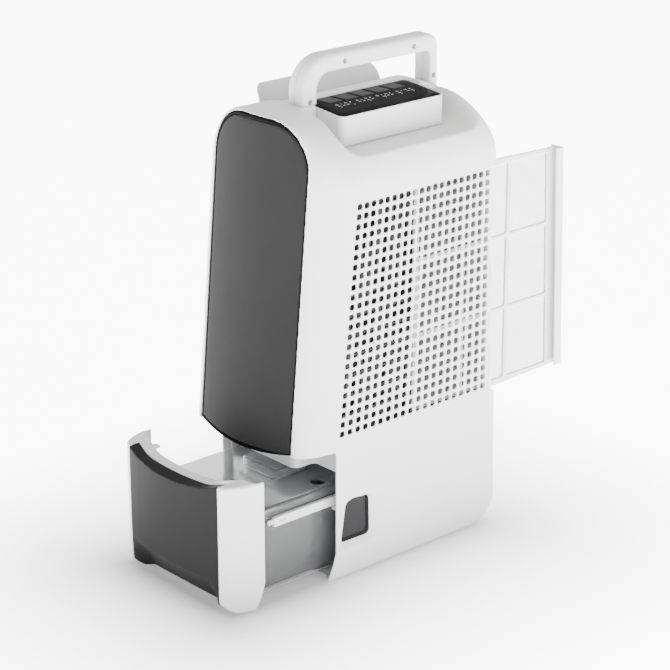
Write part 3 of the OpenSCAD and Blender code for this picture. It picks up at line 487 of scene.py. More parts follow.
RECESS_Y = (-69.0, 112.0)
RECESS_Z = 428.0
HANDLE = mm_box("handle_right")
HANDLE_HALF = HANDLE[1][0]
BOX = mm_box("control_box")
POCKET_Z = 446.0
OUTLET_X = (-66.0, -24.0)
OUTLET_Y = (-62.0, 106.0)
FILTER = mm_box("filter_frame")
NOTCH_X = 71.0              # the notch in the rear corner, through which the filter slides
NOTCH_Y = (125.3, 117.3)    # its front edge, at the filter's foot and head
NOTCH_GAP = 1.8             # how far it reaches past the filter at each
NOTCH_BEVEL = 4.0
SIDE_FRONT_Y = -88.6        # where the flat sides start
SEAM = 0.15
ABOVE = TOP + 60            # a height over everything


def recess(x, y, z, t=0.0):
    """The space in the right shoulder, and the shallow pocket left of it for the control box."""
    front_r, rear_r = 25.0 + t, 18.0 + t
    y0, y1, z0 = RECESS_Y[0] - t, RECESS_Y[1] + t, RECESS_Z - t
    side = outline(chain([(y1, ABOVE), (y0, ABOVE)],
                        arc((y0 + front_r, z0 + front_r), front_r, 180, 270),
                        arc((y1 - rear_r, z0 + rear_r), rear_r, 270, 360)), y, z)
    bowl = both(side, HANDLE_HALF - t - x, 5.0)
    gap = 0.4
    pocket = block(x, y, z, (BOX[0][0] - gap - t, BOX[0][1] - gap - t, POCKET_Z - t),
                   (HANDLE_HALF + 4, BOX[1][1] + gap + t, ABOVE), 1.5)
    return either(bowl, pocket)


# Front edge of the flat sides near the floor, which sweeps forward to the foot
FOOT_FRONT = [(-99.8, 3.0), (-96.2, 9), (-91.6, 18.5), (SIDE_FRONT_Y, 29)]


def bay_cut(y, z):
    """What is open below the shells at the front, where the drawer goes."""
    r = 4.5
    under, foot_y = -9, FOOT_FRONT[0][0]
    return outline(chain([(FAR_FRONT_Y, under), (foot_y, under), (foot_y, BOTTOM - 1.5)],
                         FOOT_FRONT[1:],
                         arc((SIDE_FRONT_Y - r, BAY_TOP - r), r, 0, 90), [(FAR_FRONT_Y, BAY_TOP)]), y, z)


def rounded(points, y, z, r):
    """A closed outline with its corners rounded to radius r."""
    p = np.array(points, float)
    c = p.mean(0)
    shrunk = c + (p - c) * (1 - 1.35 * r / np.linalg.norm(p - c, axis=1)[:, None])
    return outline(shrunk, y, z) - r


def window_rim(y, z):
    """Outer edge of the window's bezel."""
    return rounded([(-71.5, 84.5), (-31, 81), (-30, 32), (-82, 31)], y, z, 7.0)


def window_glass(y, z):
    """Outline of the window itself."""
    return rounded([(-75, 82.6), (-44, 80.6), (-43, 37), (-81.5, 38)], y, z, 5.5)


def window_dish(x, y, z):
    """The bezel that slopes in from the shell to the window."""
    rim = window_rim(y, z)
    slope = np.clip(-rim / np.maximum(np.maximum(window_glass(y, z), 0) - rim, 1e-3), 0, 1)
    depth = 4.2 * slope
    return both(rim, HALF_W - depth - x, 0.6)


def shell(x, y, z):
    """Both side shells, before the seam, the grille holes and the rest of the openings."""
    outer = body(x, y, z)
    solid = less(outer, recess(x, y, z), 2.2)
    hollow = less(outer + SHELL_T, recess(x, y, z, SHELL_T), 0.0)
    solid = less(solid, np.maximum(panel_outline(x, z, -0.3), y - PANEL_BACK_Y), 0.6)
    walls = less(solid, hollow)
    walls = less(walls, bay_cut(y, z), 0.9)
    rim = 2                 # left round the open bottom
    return less(walls, block(x, y, z, (rim - BAY_HALF, FAR_FRONT_Y, -9), (BAY_HALF - rim, 112, 5.0), 2.0))


GRILLE_COLUMNS, GRILLE_ROWS = 20, 24
GRILLE_T = 1.4              # the wall is thinned behind the grille
THIN_WALL = [(-82, 149), (116, 149), (116, 388), (-61, 388)]


def right_shell_field(x, y, z):
    walls = shell(x, y, z)
    backing = both(np.maximum(window_rim(y, z) - 1.0, BAY_HALF - x), x - HALF_W + 0.3)
    walls = either(walls, backing)
    walls = less(walls, window_dish(x, y, z), 0.8)
    walls = less(walls, np.maximum(window_glass(y, z), 80 - x), 0.6)
    thin = outline(THIN_WALL, y, z)
    walls = less(walls, np.maximum(thin, x - HALF_W + GRILLE_T), 0.6)
    foot_y, head_y = NOTCH_Y
    lo, hi = FILTER[0][2] - NOTCH_GAP, FILTER[1][2] + NOTCH_GAP
    rib_y = (THIN_WALL[1][0], THIN_WALL[1][0] + 4)
    rib = np.maximum(np.maximum(slab(x, BAY_HALF, HALF_W - 1), slab(y, *rib_y)), slab(z, lo, hi))
    walls = np.minimum(walls, rib)
    behind = REAR_Y + 30
    notch = outline([(foot_y + NOTCH_BEVEL, lo), (behind, lo), (behind, hi), (head_y + NOTCH_BEVEL, hi),
                     (head_y, hi - NOTCH_BEVEL), (foot_y, lo + NOTCH_BEVEL)], y, z)
    walls = less(walls, np.maximum(notch, NOTCH_X - x), 0.8)
    return both(walls, SEAM - x, 0.5)


def left_shell_field(x, y, z):
    walls = shell(x, y, z)
    outlet = rectangle(x, y, (OUTLET_X[0], OUTLET_Y[0]), (OUTLET_X[1], OUTLET_Y[1]), 6.0)
    walls = less(walls, np.maximum(outlet, RECESS_Z + 2 - z), 1.2)
    lead = np.maximum(disc(x, z, (-55, 133), 7.2), 100 - y)
    walls = less(walls, lead, 0.8)
    return both(walls, x + SEAM, 0.5)


def grille_cutter():
    """Flared rounded-square pegs, one for each hole of the intake grille."""
    half_y, half_z, corner_r, flare = 3.25, 3.0, 1.4, 0.4
    rear_y, top_z, row_step = 112.4, 381.8, 9.84
    span_top, span_grow = 171.1, 0.97
    u, v = half_y - corner_r, half_z - corner_r
    corners = [(u, v, 0), (-u, v, 90), (-u, -v, 180), (u, -v, 270)]
    rings = [(HALF_W - 8, 0.0), (HALF_W - flare, 0.0), (HALF_W + flare, 2 * flare)]
    points, faces = [], []
    for row in range(GRILLE_ROWS):
        for column in range(GRILLE_COLUMNS):
            cy = rear_y - column * (span_top + span_grow * row) / (GRILLE_COLUMNS - 1)
            cz = top_z - row * row_step
            first = len(points)
            for px, grow in rings:
                loop = chain(*[arc((u, v), corner_r + grow, a, a + 90, 2) for u, v, a in corners])
                points += [(px, cy + u, cz + v) for u, v in loop]
            n = len(loop)
            faces.append([first + k for k in range(n)][::-1])
            faces.append([first + 2 * n + k for k in range(n)])
            for ring in range(2):
                a = first + ring * n
                faces += [(a + k, a + (k + 1) % n, a + n + (k + 1) % n, a + n + k) for k in range(n)]
    return mesh_object("grille_cutter", points, faces, 0)


def cut(obj, cutter):
    """Cuts one mesh from another, and removes the cutter."""
    tool = obj.modifiers.new("cut", "BOOLEAN")
    tool.object = cutter
    tool.operation = "DIFFERENCE"
    tool.solver = "MANIFOLD"
    apply_modifiers(obj)
    bpy.data.objects.remove(cutter)


def apply_modifiers(obj, angle=35):
    depsgraph = bpy.context.evaluated_depsgraph_get()
    mesh = bpy.data.meshes.new_from_object(obj.evaluated_get(depsgraph))
    obj.modifiers.clear()
    obj.data = mesh
    mesh.shade_smooth()
    mesh.set_sharp_from_angle(angle=math.radians(angle))


def right_shell():
    lo, hi = SHELL
    obj = moulded("right_shell_skin", lo, hi, right_shell_field, 1.2, FLATTEN)
    cut(obj, grille_cutter())
    return dress(obj, "housing", "white_shell", "white", "right_shell")


def left_shell():
    lo, hi = mm_box("left_shell")
    obj = moulded("left_shell_skin", lo, hi, left_shell_field, 1.2, FLATTEN)
    return dress(obj, "housing", "white_shell", "white", "left_shell")


# ---- Front panel and its trim ---------------------------------------------------

def trim_width(x):
    """The trim narrows from the left to the right."""
    return 3.4 - 2.0 * smooth((x - 20) / 40)


def front_panel():
    def field(x, y, z):
        skin = less(body(x, y, z) + 0.05, body(x, y, z) + 2.4)
        w = trim_width(x) + 0.15
        edge = np.maximum(panel_outline(x, z, w), panel_bottom(x, z, w))
        return both(skin, np.maximum(edge, y - PANEL_BACK_Y), 1.0)
    lo, hi = mm_box("front_panel")
    obj = moulded("front_panel_skin", lo, hi, field, 0.9, FLATTEN)
    return dress(obj, "housing", "dark_panel", "dark", "front_panel")


def front_trim():
    def field(x, y, z):
        skin = less(body(x, y, z), body(x, y, z) + 4.0)
        edge = np.maximum(panel_outline(x, z), panel_bottom(x, z))
        w = trim_width(x)
        inner = np.maximum(panel_outline(x, z, w), panel_bottom(x, z, w))
        return both(skin, np.maximum(less(edge, inner), y - PANEL_BACK_Y), 1.0)
    lo, hi = PANEL
    obj = moulded("front_trim_ring", lo, hi, field, 0.75, FLATTEN)
    return dress(obj, "housing", "black_gloss", "gloss", "front_trim")


# ---- Handle ------------------------------------------------------------------------

BAR_Z = 493.0               # underside of the bar
LEG_Y = (-44.0, 106.0)      # inner sides of the two legs
SCREW_WELLS = [(-52.4, 467), (112, 467), (-7.7, 500.5), (84.3, 500.5)]


def handle(name, side, node):
    """One half of the handle, with wells for the screws in the right half."""
    def field(x, y, z):
        y0, y1 = HANDLE[0][1], HANDLE[1][1]
        top = HANDLE[1][2]
        outer = outline(chain([(y0, 430), (y1, 430)], arc((y1 - 15, top - 15), 15, 0, 90),
                             arc((y0 + 34, top - 34), 34, 90, 180)), y, z)
        inner = outline(chain([(LEG_Y[0], 400), (LEG_Y[1], 400)],
                             arc((LEG_Y[1] - 5, BAR_Z - 5), 5, 0, 90),
                             arc((LEG_Y[0] + 17, BAR_Z - 17), 17, 90, 180)), y, z)
        across = np.abs(x) - HANDLE_HALF
        grip = both(less(outer, inner), across, 2.2)
        grip = both(grip, both(outer, across, 5.5))
        if side > 0:
            wells = np.minimum.reduce([disc(y, z, c, 2.7) for c in SCREW_WELLS])
            grip = less(grip, np.maximum(wells, 5 - x), 0.5)
        seat = body(x, y, z) - 0.05
        grip = np.maximum(grip, -seat)
        return both(grip, SEAM - side * x, 0.9)
    lo, hi = mm_box(node)
    obj = moulded(name, lo, hi, field, 0.8, FLATTEN)
    return dress(obj, "housing", "white_shell", "white", node)


# ---- Control panel -----------------------------------------------------------------

GLASS_TILT = math.radians(5.3)
GLASS_Z = TOP - 0.5
GLASS_T = 2.4
BOX_R = 7.0
BOX_SPLIT = 12.5            # left of this the box stands in its pocket
KEYS = 5
KEY_PITCH = 21.0
KEY_MIDDLE = 12.5           # from the glass's left edge
KEY_HALF = (8.7, 8.8)       # half its width and half its length
KEY_SLANT = 0.33


def on_glass(x, z):
    """Distance along the glass from its left edge, and above its face."""
    dx, dz = x - BOX[0][0], z - GLASS_Z
    return (dx * math.cos(GLASS_TILT) - dz * math.sin(GLASS_TILT),
            dx * math.sin(GLASS_TILT) + dz * math.cos(GLASS_TILT))


def key_y(i):
    return (i - 1) * KEY_PITCH


def key_plan(i, u, v, t=0.0):
    """Slanted outline of key i, grown by t."""
    across = np.abs(u - KEY_MIDDLE) - KEY_HALF[0] - t
    off = np.abs(v - key_y(i) - KEY_SLANT * (u - KEY_MIDDLE))
    along = (off - KEY_HALF[1]) / math.hypot(1, KEY_SLANT) - t
    return both(across, along, 1.2)


def key_holes(u, v, t):
    return np.minimum.reduce([key_plan(i, u, v, t) for i in range(KEYS)])


def control_box():
    def field(x, y, z):
        u, w = on_glass(x, z)
        plan = rectangle(x, y, BOX[0][:2], BOX[1][:2], BOX_R)
        solid = both(plan, w + 0.25, 0.5)
        solid = less(solid, np.maximum(plan + 1.3, -w - GLASS_T - 0.2))
        foot = np.where(x < BOX_SPLIT, POCKET_Z + 0.4, RECESS_Z + 0.4) - z
        inside = np.maximum(plan + 2.4, w + GLASS_T + 3.4)
        holes = np.maximum(key_holes(u, y, 1.0), -w - 8)
        return np.maximum(less(less(solid, inside), holes), foot)
    lo, hi = BOX
    obj = moulded("control_box_shell", lo, hi + np.array([0, 0, 3]), field, 0.6, FLATTEN)
    return dress(obj, "housing", "white_shell", "white", "control_box")


def control_glass():
    def field(x, y, z):
        u, w = on_glass(x, z)
        plan = rectangle(x, y, BOX[0][:2], BOX[1][:2], BOX_R) + 1.5
        sheet = both(plan, np.maximum(w, -w - GLASS_T), 0.5)
        border, fall = plan + 5.0, 0.14
        sheet = both(sheet, (w + fall * border) / 1.01, 0.3)
        return less(sheet, key_holes(u, y, 0.4), 0.2)
    lo, hi = mm_box("control_glass")
    obj = moulded("control_glass_sheet", lo, hi, field, 0.6, FLATTEN)
    return dress(obj, "housing", "black_gloss", "gloss", "control_glass")


def keys():
    for i in range(KEYS):
        def field(x, y, z):
            u, w = on_glass(x, z)
            cap = both(key_plan(i, u, y), np.maximum(w - 0.3, -1.6 - w), 0.4)
            lamp = np.maximum(disc(u, y, (KEY_MIDDLE - 6, key_y(i) + 3.5), 0.8), -w)
            stem = np.maximum(disc(u, y, (KEY_MIDDLE, key_y(i)), 1.6), slab(w, -7, -1))
            return either(less(cap, lamp), stem)
        lo, hi = mm_box("button_%d" % (i + 1))
        grow = np.array([2, 4, 0.5])
        obj = moulded("key_cap_%d" % (i + 1), lo - grow, hi + grow, field, 0.45, FLATTEN)
        dress(obj, "key_%d" % (i + 1), "dark_plastic", "key", "button_%d" % (i + 1))


def panel_prints():
    """Small printed signs beside the keys: rings, drops, bars and dots."""
    points, faces = [], []

    def place(u, v):
        c, s = math.cos(GLASS_TILT), math.sin(GLASS_TILT)
        lift = 0.04
        return [(BOX[0][0] + u * c + h * s, v, GLASS_Z - u * s + h * c) for h in (lift, lift + 0.06)]

    def sign(loop):
        first = len(points)
        for u, v in loop:
            points.extend(place(u, v))
        n = len(loop)
        faces.append([first + 2 * k + 1 for k in range(n)])
        faces.append([first + 2 * k for k in reversed(range(n))])
        faces.extend((first + 2 * k, first + 2 * ((k + 1) % n), first + 2 * ((k + 1) % n) + 1,
                      first + 2 * k + 1) for k in range(n))

    def ring(u, v, r):
        for a in range(0, 360, 45):
            sign(arc((u, v), r, a, a + 45, 2) + arc((u, v), r - 0.45, a + 45, a, 2))

    for k in range(16):
        v = -24 + 5.6 * k + 4 * (k // 4)
        if k % 4 == 0:
            ring(27.5, v, 1.5)
        elif k % 4 == 1:
            sign(arc((27.2, v), 1.1, -130, 130, 8) + [(29.3, v)])
        elif k % 4 == 2:
            sign([(26.2, v - 1.3), (28.6, v - 1.3), (28.6, v - 0.7), (26.2, v - 0.7)])
            sign([(26.2, v + 0.7), (28.6, v + 0.7), (28.6, v + 1.3), (26.2, v + 1.3)])
        else:
            sign(arc((27.4, v), 0.9, 0, 315, 7))
        if k % 5 != 3:
            sign([(31.4, v - 1.6), (32.2, v - 1.6), (32.2, v + 1.4), (31.4, v + 1.4)])
        if k % 3 == 0:
            sign(arc((34.6, v), 0.6, 0, 300, 5))
    obj = mesh_object("panel_prints", points, faces, 0)
    return dress(obj, "housing", "white_shell", "print")


# ---- Outlet flap ---------------------------------------------------------------------

FLAP = mm_box("flap")
FLAP_PIVOT = (-49.0, 449.1)
FLAP_TURN = math.radians(-110.7)
FLAP_Y = (-58.0, 102.0)
FLAP_U = (-14.5, 27.5)      # reach of the blade on both sides of its pivot


def flap():
    """The blade with a lug and a pin at each end, in the pivot's own u and w."""
    def field(x, y, z):
        dx, dz = x - FLAP_PIVOT[0], z - FLAP_PIVOT[1]
        c, s = math.cos(FLAP_TURN), math.sin(FLAP_TURN)
        u, w = dx * c - dz * s, dx * s + dz * c
        (y0, y1), (u0, u1) = FLAP_Y, FLAP_U
        plan = outline(chain(arc((u1 - 20, y1 - 20), 20, 0, 90), arc((u0 + 4, y1 - 4), 4, 90, 180, 5),
                            arc((u0 + 4, y0 + 4), 4, 180, 270, 5),
                            arc((u1 - 7, y0 + 7), 7, 270, 360, 7)), u, y)
        middle = 5.5 + 1.4 * (1 - ((u - 6.5) / 21) ** 2) - 0.5
        blade = both(plan, np.abs(w - middle) - 1.25, 1.0)
        lugs = np.minimum(slab(y, y0 + 0.6, y0 + 3.0), slab(y, y1 - 3.0, y1 - 0.6))
        eye = np.minimum(disc(u, w, (0, 0), 4.4), rectangle(u, w, (-4.4, 0), (4.4, 5.4)))
        lug = both(np.maximum(eye, lugs), w - middle)
        ends = np.minimum(slab(y, y0 - 4.6, y0 + 1), slab(y, y1 - 1, y1 + 4.6))
        pin = np.maximum(disc(u, w, (0, 0), 2.4), ends)
        return either(either(blade, lug, 0.8), pin)
    lo, hi = FLAP
    obj = moulded("flap_blade", lo - 1.0, hi + 1.0, field, 0.7, FLATTEN)
    return dress(obj, "flap", "white_shell", "white", "flap")


# ---- Tank bay --------------------------------------------------------------------------

def bay_shell():
    """The moulded bay round the tank, with the skirt that shows below the dark panel."""
    wall, half, rear_y = 2.5, BAY_HALF, 118.0
    skirt_half, skirt_y, skirt_z, step_y, ceiling = 47.0, -106.0, 111.5, -80.5, 112.0

    def plan(x, y, t):
        r_out, r_in = 8.0, 6.0
        h = skirt_half - t
        right = chain(arc((h - r_out + t, skirt_y + r_out), r_out - t, 270, 360, 8),
                     arc((h + r_in + t, step_y - r_in + t), r_in + t, 180, 90, 8),
                     arc((half + wall - 6, step_y + 6), 6 - t, 270, 360, 6),
                     arc((half + wall - 3, rear_y + wall - 3), 3 - min(t, 2.9), 0, 90, 4))
        left = [(-px, py) for px, py in reversed(right)]
        return outline(right + left, x, y)

    def field(x, y, z):
        shape = plan(x, y, 0.0)
        skirt = np.maximum(less(shape, shape + wall), slab(z, skirt_z, BAY_TOP + 3))
        skirt = both(skirt, slab(z, skirt_z, BAY_TOP + 3), 0.6)
        skirt = np.maximum(skirt, y - step_y - 8)
        ceil = np.maximum(shape + 0.4, slab(z, ceiling, ceiling + wall))
        sides = np.maximum(np.maximum(slab(np.abs(x), half, half + wall), slab(z, 6, ceiling + 1)),
                           slab(y, step_y, rear_y + wall))
        back = np.maximum(np.maximum(slab(y, rear_y, rear_y + wall), slab(z, 6, ceiling + 1)),
                          np.abs(x) - half - wall)
        ledge = both(np.maximum(slab(np.abs(x), 71.7, half + 1), slab(y, step_y, rear_y + 1)),
                     slab(z, 70, 74.6), 0.8)
        solid = np.minimum.reduce([skirt, ceil, sides, back, ledge])
        solid = less(solid, np.maximum(disc(x, y, (55, 8), 5), slab(z, ceiling - 3, ceiling + 6)), 0.4)
        solid = less(solid, np.maximum(window_glass(y, z), 78 - x))
        return np.maximum(solid, body(x, y, z) + SHELL_T + 0.1)
    lo, hi = mm_box("chassis")
    obj = moulded("bay_shell", lo, hi, field, 1.1, FLATTEN)
    return dress(obj, "housing", "grey_plastic", "grey", "chassis")


def window_pane():
    """The tank's window, and a thin black band of painted shade along two of its edges."""
    def pane(x, y, z):
        return both(window_glass(y, z) + 0.2, slab(x, 82.6, 85.2), 0.5)

    # A band of painted shade along the window's right and lower edges
    def painted_shade_band(x, y, z):
        shift = 3.2
        ring = less(window_glass(y, z) + 0.1, window_glass(y + shift, z - shift) + 0.8)
        return both(ring, slab(x, 85.3, 86.0), 0.3)
    lo, hi = mm_box("tank_window")
    grow = np.array([3, 5, 4])
    obj = moulded("window_pane", lo - grow, hi + grow, pane, 0.6, FLATTEN)
    dress(obj, "housing", "black_gloss", "window", "tank_window")
    # Painted shade: the black band stands for the shaded sides of the window's recess
    obj = moulded("window_painted_shade", lo - grow, hi + grow, painted_shade_band, 0.4, FLATTEN)
    return dress(obj, "housing", "soft_rubber", "rubber")


# ---- Tank ------------------------------------------------------------------------------

TANK = mm_box("tank")
LID = mm_box("tank_lid")
CAP = mm_box("lid_cap")
RAILS = mm_box("tank_rails")


def tank():
    def field(x, y, z):
        lo, hi = TANK
        above, slope_z, slope_y = 120, 35.4, 15.6
        side = outline([(lo[1], above), (lo[1], slope_z), (lo[1] + slope_y, lo[2]), (hi[1], lo[2]),
                        (hi[1], above)], y, z)
        t = 2.2
        outer = both(side, np.abs(x) - hi[0], 4.0)
        inner = both(side + t, np.abs(x) - hi[0] + t, 2.5)
        return both(less(outer, inner), z - hi[2], 0.5)
    lo, hi = TANK
    obj = moulded("tank_tub", lo, hi, field, 0.9, FLATTEN)
    return dress(obj, "tank", "smoke_clear", "smoke", "tank")


def lid_shell(x, y, z, lo, hi, outer_r, inner_r):
    """A lid 2 mm thick, open below."""
    t, under = 2, 20
    outer = block(x, y, z, lo - np.array([0, 0, under]), hi, outer_r)
    inner = block(x, y, z, lo + np.array([t, t, -under]), hi - t, inner_r)
    return np.maximum(less(outer, inner), lo[2] - z)


def tank_lid():
    """The lid with its filler hole and two ears. The ears stand 74 mm behind the float's pins."""
    def field(x, y, z):
        lo, hi = np.array([TANK[0][0], TANK[0][1], TANK[1][2] + 0.15]), LID[1]
        solid = lid_shell(x, y, z, lo, hi, 3.5, 2.0)
        hole = np.maximum(disc(x, y, (55, -83.4), 7), hi[2] - 5 - z)
        ears = np.maximum(np.minimum(slab(x, -23, -21), slab(x, 17, 19)), slab(z, 80, hi[2] - 1))
        ears = np.maximum(ears, slab(y, -11.4, -3.4))
        solid = np.minimum(less(solid, hole, 0.4), ears)
        return less(solid, np.maximum(disc(y, z, (-7.4, 84), 1.55), np.abs(x) - 30))
    lo, hi = LID
    obj = moulded("tank_cover", lo, hi + 1.0, field, 0.9, FLATTEN)
    return dress(obj, "tank", "smoke_clear", "smoke", "tank_lid")


def lid_cap():
    """The raised cover over the float, with two small holes."""
    def field(x, y, z):
        solid = lid_shell(x, y, z, *CAP, 2.5, 1.5)
        wells = np.minimum(disc(x, y, (-20, -91.4), 1.7), disc(x, y, (20, -91.4), 1.7))
        return less(solid, wells, 0.4)
    lo, hi = CAP
    obj = moulded("float_cover", lo, hi, field, 0.7, FLATTEN)
    return dress(obj, "tank", "smoke_clear", "smoke", "lid_cap")


def rails():
    """A bar on each side of the tank, with a slot and a stepped tab at its front end."""
    def field(x, y, z):
        lo, hi = RAILS
        side = np.abs(x)
        root = TANK[1][0] + 0.05
        bar = block(side, y, z, (root, lo[1], lo[2]), hi, 1.2)
        slot = np.maximum(rectangle(y, z, (lo[1] + 6, 79), (lo[1] + 15, 81.8), 1.3), 73.5 - side)
        tab = block(side, y, z, (root, lo[1] - 6, lo[2] + 2.5), (hi[0] - 2.2, lo[1] + 2, hi[2] - 2.5), 0.8)
        boss = np.maximum(disc(y, z, (lo[1] - 3, 80), 1.1), 71.5 - side)
        return either(less(bar, slot, 0.4), less(tab, boss, 0.2))
    lo, hi = RAILS
    obj = moulded("slide_rails", lo - np.array([0, 7, 0]), hi, field, 0.7, FLATTEN)
    return dress(obj, "tank", "white_shell", "white", "tank_rails")


# ---- Drawer front ------------------------------------------------------------------------

DRAWER = mm_box("tank_front")
FACE = mm_box("tank_front_panel")
OUT = PANEL_Y - BOW - FACE[0][1]        # how far the drawer stands out
DRAWER_Z = (3.0, 138.0)
PULL_Z = 37.0               # under this the face slopes back, for the fingers
PULL_Y = -113.6             # where that slope ends
CHAMFER = 12.0              # depth of the bevel along the upper edge
NO_LIMIT = -9               # a distance that cuts nothing off


def front_plan():
    """Plan of the bowed front and its rounded corners, as for a closed drawer."""
    r = bow_radius(BOW)
    half_angle = math.degrees(math.asin(PANEL_HALF / r))
    corner = [(PANEL_HALF + (HALF_W - PANEL_HALF) * math.sin(a),
               SIDE_FRONT_Y + (PANEL_Y - SIDE_FRONT_Y) * math.cos(a))
              for a in np.linspace(0, math.pi / 2, 17)]
    bowed = arc((0, PANEL_Y - BOW + r), r, 270 - half_angle, 270 + half_angle, 24)
    left = [(-px, py) for px, py in reversed(corner)]
    return chain([(-HALF_W, 60)], left, bowed, corner, [(HALF_W, 60)])


def drawer_top(x):
    """The wings' upper edge stands higher than the face's."""
    return 129.0 + 9.0 * smooth((np.abs(x) - 42) / 42)


def drawer_depth(x, y):
    """Depth behind the drawer's outer surface."""
    return -outline(front_plan(), x, y + OUT)


def drawer_bevel(x, z, depth):
    """Height above the bevel along the drawer's upper edge."""
    front_edge = 125.0 + 9.0 * np.minimum(np.abs(x) / PANEL_HALF, 1) ** 2
    return (z - front_edge - (drawer_top(x) - front_edge) * depth / CHAMFER) / 1.06


def face_solid(x, y, z, depth):
    """The dark face with its bevel above and its pull below, as if it were solid."""
    across = np.abs(x)
    chamfer = drawer_bevel(x, z, depth)
    bowed = bowed_y(x)
    back = PULL_Y + (bowed + 3.0 - PULL_Y) * smooth((across - 50) / 18)
    slope = (back - bowed) / (PULL_Z - DRAWER_Z[0])
    pull = (bowed + slope * (PULL_Z - z) - y - OUT) / np.hypot(1, slope)
    return both(np.maximum(-depth, chamfer), pull, 1.5)


def wing_side(home, z):
    """Side view of the drawer's wings, its corners rounded."""
    r, rear_r, ahead = 17.0, 4.5, -160
    lo, hi = DRAWER_Z
    return outline(chain(FOOT_FRONT,
                         arc((SIDE_FRONT_Y - rear_r, hi - rear_r), rear_r, 0, 90, 8),
                         [(ahead, hi), (ahead, lo + r)],
                         arc((PANEL_Y + r - 0.5, lo + r), r, 180, 270, 10)), home + 0.6, z)


def face_skin(x, y, z, depth, solid, t):
    """The dark moulding on the drawer, grown by t."""
    bevelled = np.where(z > 100, depth - CHAMFER - t, NO_LIMIT)
    skin = np.maximum(less(solid - t, solid + 2.3), bevelled)
    return both(np.maximum(skin, y + OUT - PULL_Y - 3), np.abs(x) - PANEL_HALF + 0.3 - t, 0.5)


def drawer_face():
    def field(x, y, z):
        depth = drawer_depth(x, y)
        skin = face_skin(x, y, z, depth, face_solid(x, y, z, depth), 0.0)
        skin = np.maximum(skin, np.where(np.abs(x) > 56, wing_side(y + OUT, z) + 0.5, NO_LIMIT))
        return np.maximum(skin, np.maximum(z - drawer_top(x) + 0.5, 5.0 - z))
    lo, hi = mm_box("tank_front_panel")
    obj = moulded("drawer_face", lo, hi + np.array([0, 4, 14]), field, 0.8, FLATTEN)
    return dress(obj, "tank", "dark_panel", "dark", "tank_front_panel")


def drawer_front():
    """The white part of the drawer: two wings, the seat behind the face, the flange and a clip."""
    def field(x, y, z):
        depth = drawer_depth(x, y)
        home = y + OUT
        across = np.abs(x)
        top = drawer_top(x)
        solid = face_solid(x, y, z, depth)
        side = wing_side(home, z)
        wing = both(np.maximum(-depth, depth - 2.6), PANEL_HALF - across, 0.5)
        upper = np.maximum(drawer_bevel(x, z, depth), z - top)
        wing = both(both(wing, side, 1.0), upper, 0.8)
        seat = np.maximum(np.maximum(-solid - 4.9, solid + 2.5), across - PANEL_HALF - 3)
        seat = np.maximum(seat, np.maximum(home - PULL_Y - 5, DRAWER_Z[0] - z))
        seat = np.maximum(seat, np.where(across > 56, side + 0.5, NO_LIMIT))
        seat = np.maximum(seat, np.where(z > 60, depth - CHAMFER - 4, NO_LIMIT))
        rear_edge = -116.0 + 14.5 * (across / 80) ** 2
        inboard = np.minimum(CHAMFER - depth, PANEL_HALF - across)
        flange = np.maximum(np.maximum(upper, -upper - 2.4), inboard)
        flange = both(flange, home - rear_edge, 0.8)
        flange = np.maximum(np.maximum(flange, 0.3 - depth), side)
        clip = block(x, y, z, (-60, -113 - OUT, 129.6), (-52, -104 - OUT, 132.0), 0.6)
        joined = np.minimum(either(seat, flange, 1.0), clip)
        joined = np.maximum(joined, 2.6 - depth)
        white = np.maximum(either(wing, joined, 2.5), -depth)
        return less(white, face_skin(x, y, z, depth, solid, 0.2))
    lo, hi = DRAWER
    obj = moulded("drawer_wings", lo, hi + 1.0, field, 0.8, FLATTEN)
    return dress(obj, "tank", "white_shell", "white", "tank_front")


# ---- Air filter ----------------------------------------------------------------------------

FILTER_X = 79.6             # middle of the frame's thickness
FILTER_LEN = 211.0          # along its foot
FILTER_FRONT = FILTER[1][1] - FILTER_LEN
FILTER_LEAN = 8.0 / (FILTER[1][2] - FILTER[0][2])       # the grip leans with the rear wall
FILTER_RIM, FILTER_RIB, FILTER_GRIP = 7.0, 4.0, 17.0


def filter_end(z):
    """The grip's outer face at a height."""
    return FILTER[1][1] - FILTER_LEAN * (z - FILTER[0][2])


def filter_cells():
    """Front foot corner and rear head corner of each of the nine windows."""
    cell_y = (FILTER_LEN - FILTER_RIM - FILTER_GRIP + FILTER_RIB) / 3
    cell_z = (FILTER[1][2] - FILTER[0][2] - 2 * FILTER_RIM + FILTER_RIB) / 3
    for column in range(3):
        for row in range(3):
            y0 = FILTER_FRONT + FILTER_RIM + column * cell_y
            z0 = FILTER[0][2] + FILTER_RIM + row * cell_z
            yield (y0, z0), (y0 + cell_y - FILTER_RIB, z0 + cell_z - FILTER_RIB)


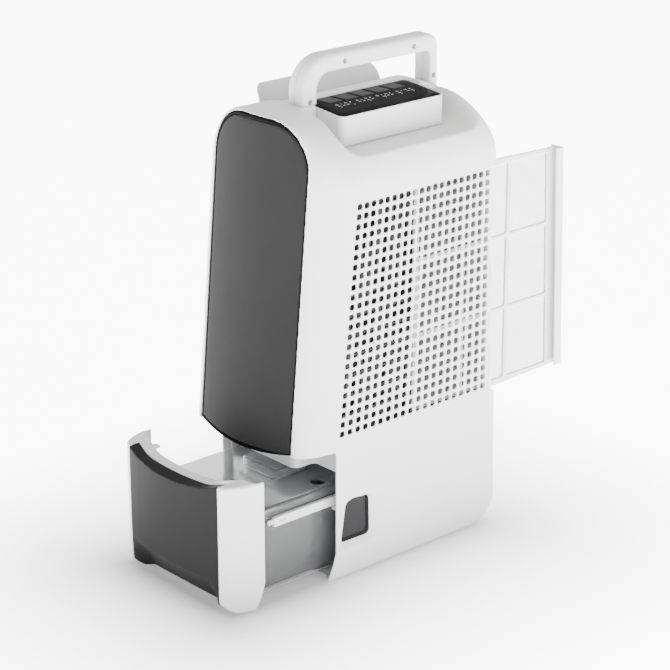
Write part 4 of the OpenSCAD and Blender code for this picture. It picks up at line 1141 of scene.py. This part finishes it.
def filter_frame():
    def field(x, y, z):
        lo, hi = FILTER
        inside = y - filter_end(z)
        grip_drop = 2.6
        drop = grip_drop * smooth((inside + 100) / 100)
        plate = both(np.maximum(FILTER_FRONT - y, inside + 1.5), np.maximum(z - hi[2], lo[2] - z), 2.0)
        plate = np.maximum(plate, np.maximum(z - hi[2] + drop, lo[2] + drop - z))
        windows = np.minimum.reduce([rectangle(y, z, a, b, 2.5) for a, b in filter_cells()])
        windows = both(windows, inside + FILTER_GRIP, 2.0)
        frame_part = both(less(plate, windows), np.abs(x - FILTER_X) - 1.5, 0.6)
        grip = both(slab(x, 72.5, hi[0]), slab(inside, -2.6, 0), 1.0)
        lip = both(slab(x, hi[0] - 2.4, hi[0]), slab(inside, -10, 0), 1.0)
        ends = np.maximum(z - hi[2] + grip_drop, lo[2] - z + grip_drop)
        grip = both(either(grip, lip, 1.5), ends, 0.8)
        return either(frame_part, grip, 0.8)
    lo, hi = FILTER
    obj = moulded("filter_frame_mould", lo, hi, field, 0.7, FLATTEN)
    return dress(obj, "filter", "white_shell", "white", "filter_frame")


def filter_net():
    """Crossed nylon strands over each window, the uprights just behind the others."""
    pitch, r, sides = 1.5, 0.22, 6
    points, faces = [], []

    def strand(a, b, level):
        """One strand from a to b, level or upright."""
        first = len(points)
        for end in (a, b):
            for k in range(sides):
                p, q = math.cos(k * math.pi / 3) * r, math.sin(k * math.pi / 3) * r
                points.append((end[0] + p, end[1] + (0 if level else q), end[2] + (q if level else 0)))
        for k in range(sides):
            n = (k + 1) % sides
            faces.append((first + k, first + n, first + sides + n, first + sides + k))
        faces.append(tuple(first + k for k in reversed(range(sides))))
        faces.append(tuple(first + sides + k for k in range(sides)))

    for (y0, z0), (y1, z1) in filter_cells():
        count_z = int((z1 - z0) / pitch)
        for k in range(1, count_z):
            z = z0 + k * (z1 - z0) / count_z
            rear = min(y1, filter_end(z) - FILTER_GRIP)
            strand((FILTER_X + r, y0 - 1, z), (FILTER_X + r, rear + 1, z), True)
        count_y = int((y1 - y0) / pitch)
        for k in range(1, count_y):
            y = y0 + k * (y1 - y0) / count_y
            head = min(z1, FILTER[0][2] + (FILTER[1][1] - FILTER_GRIP - y) / FILTER_LEAN)
            if head > z0 + 2:
                strand((FILTER_X - r, y, z0 - 1), (FILTER_X - r, y, head + 1), False)
    obj = mesh_object("filter_net", points, faces, 0)
    return dress(obj, "filter", "filter_net", "net", "filter_mesh")


# ---- Everything ------------------------------------------------------------------------

camera()
studio()
dress_cad_nodes()
right_shell()
left_shell()
front_panel()
front_trim()
handle("handle_right_half", 1, "handle_right")
handle("handle_left_half", -1, "handle_left")
control_box()
control_glass()
keys()
panel_prints()
flap()
bay_shell()
window_pane()
tank()
tank_lid()
lid_cap()
rails()
drawer_front()
drawer_face()
filter_frame()
filter_net()
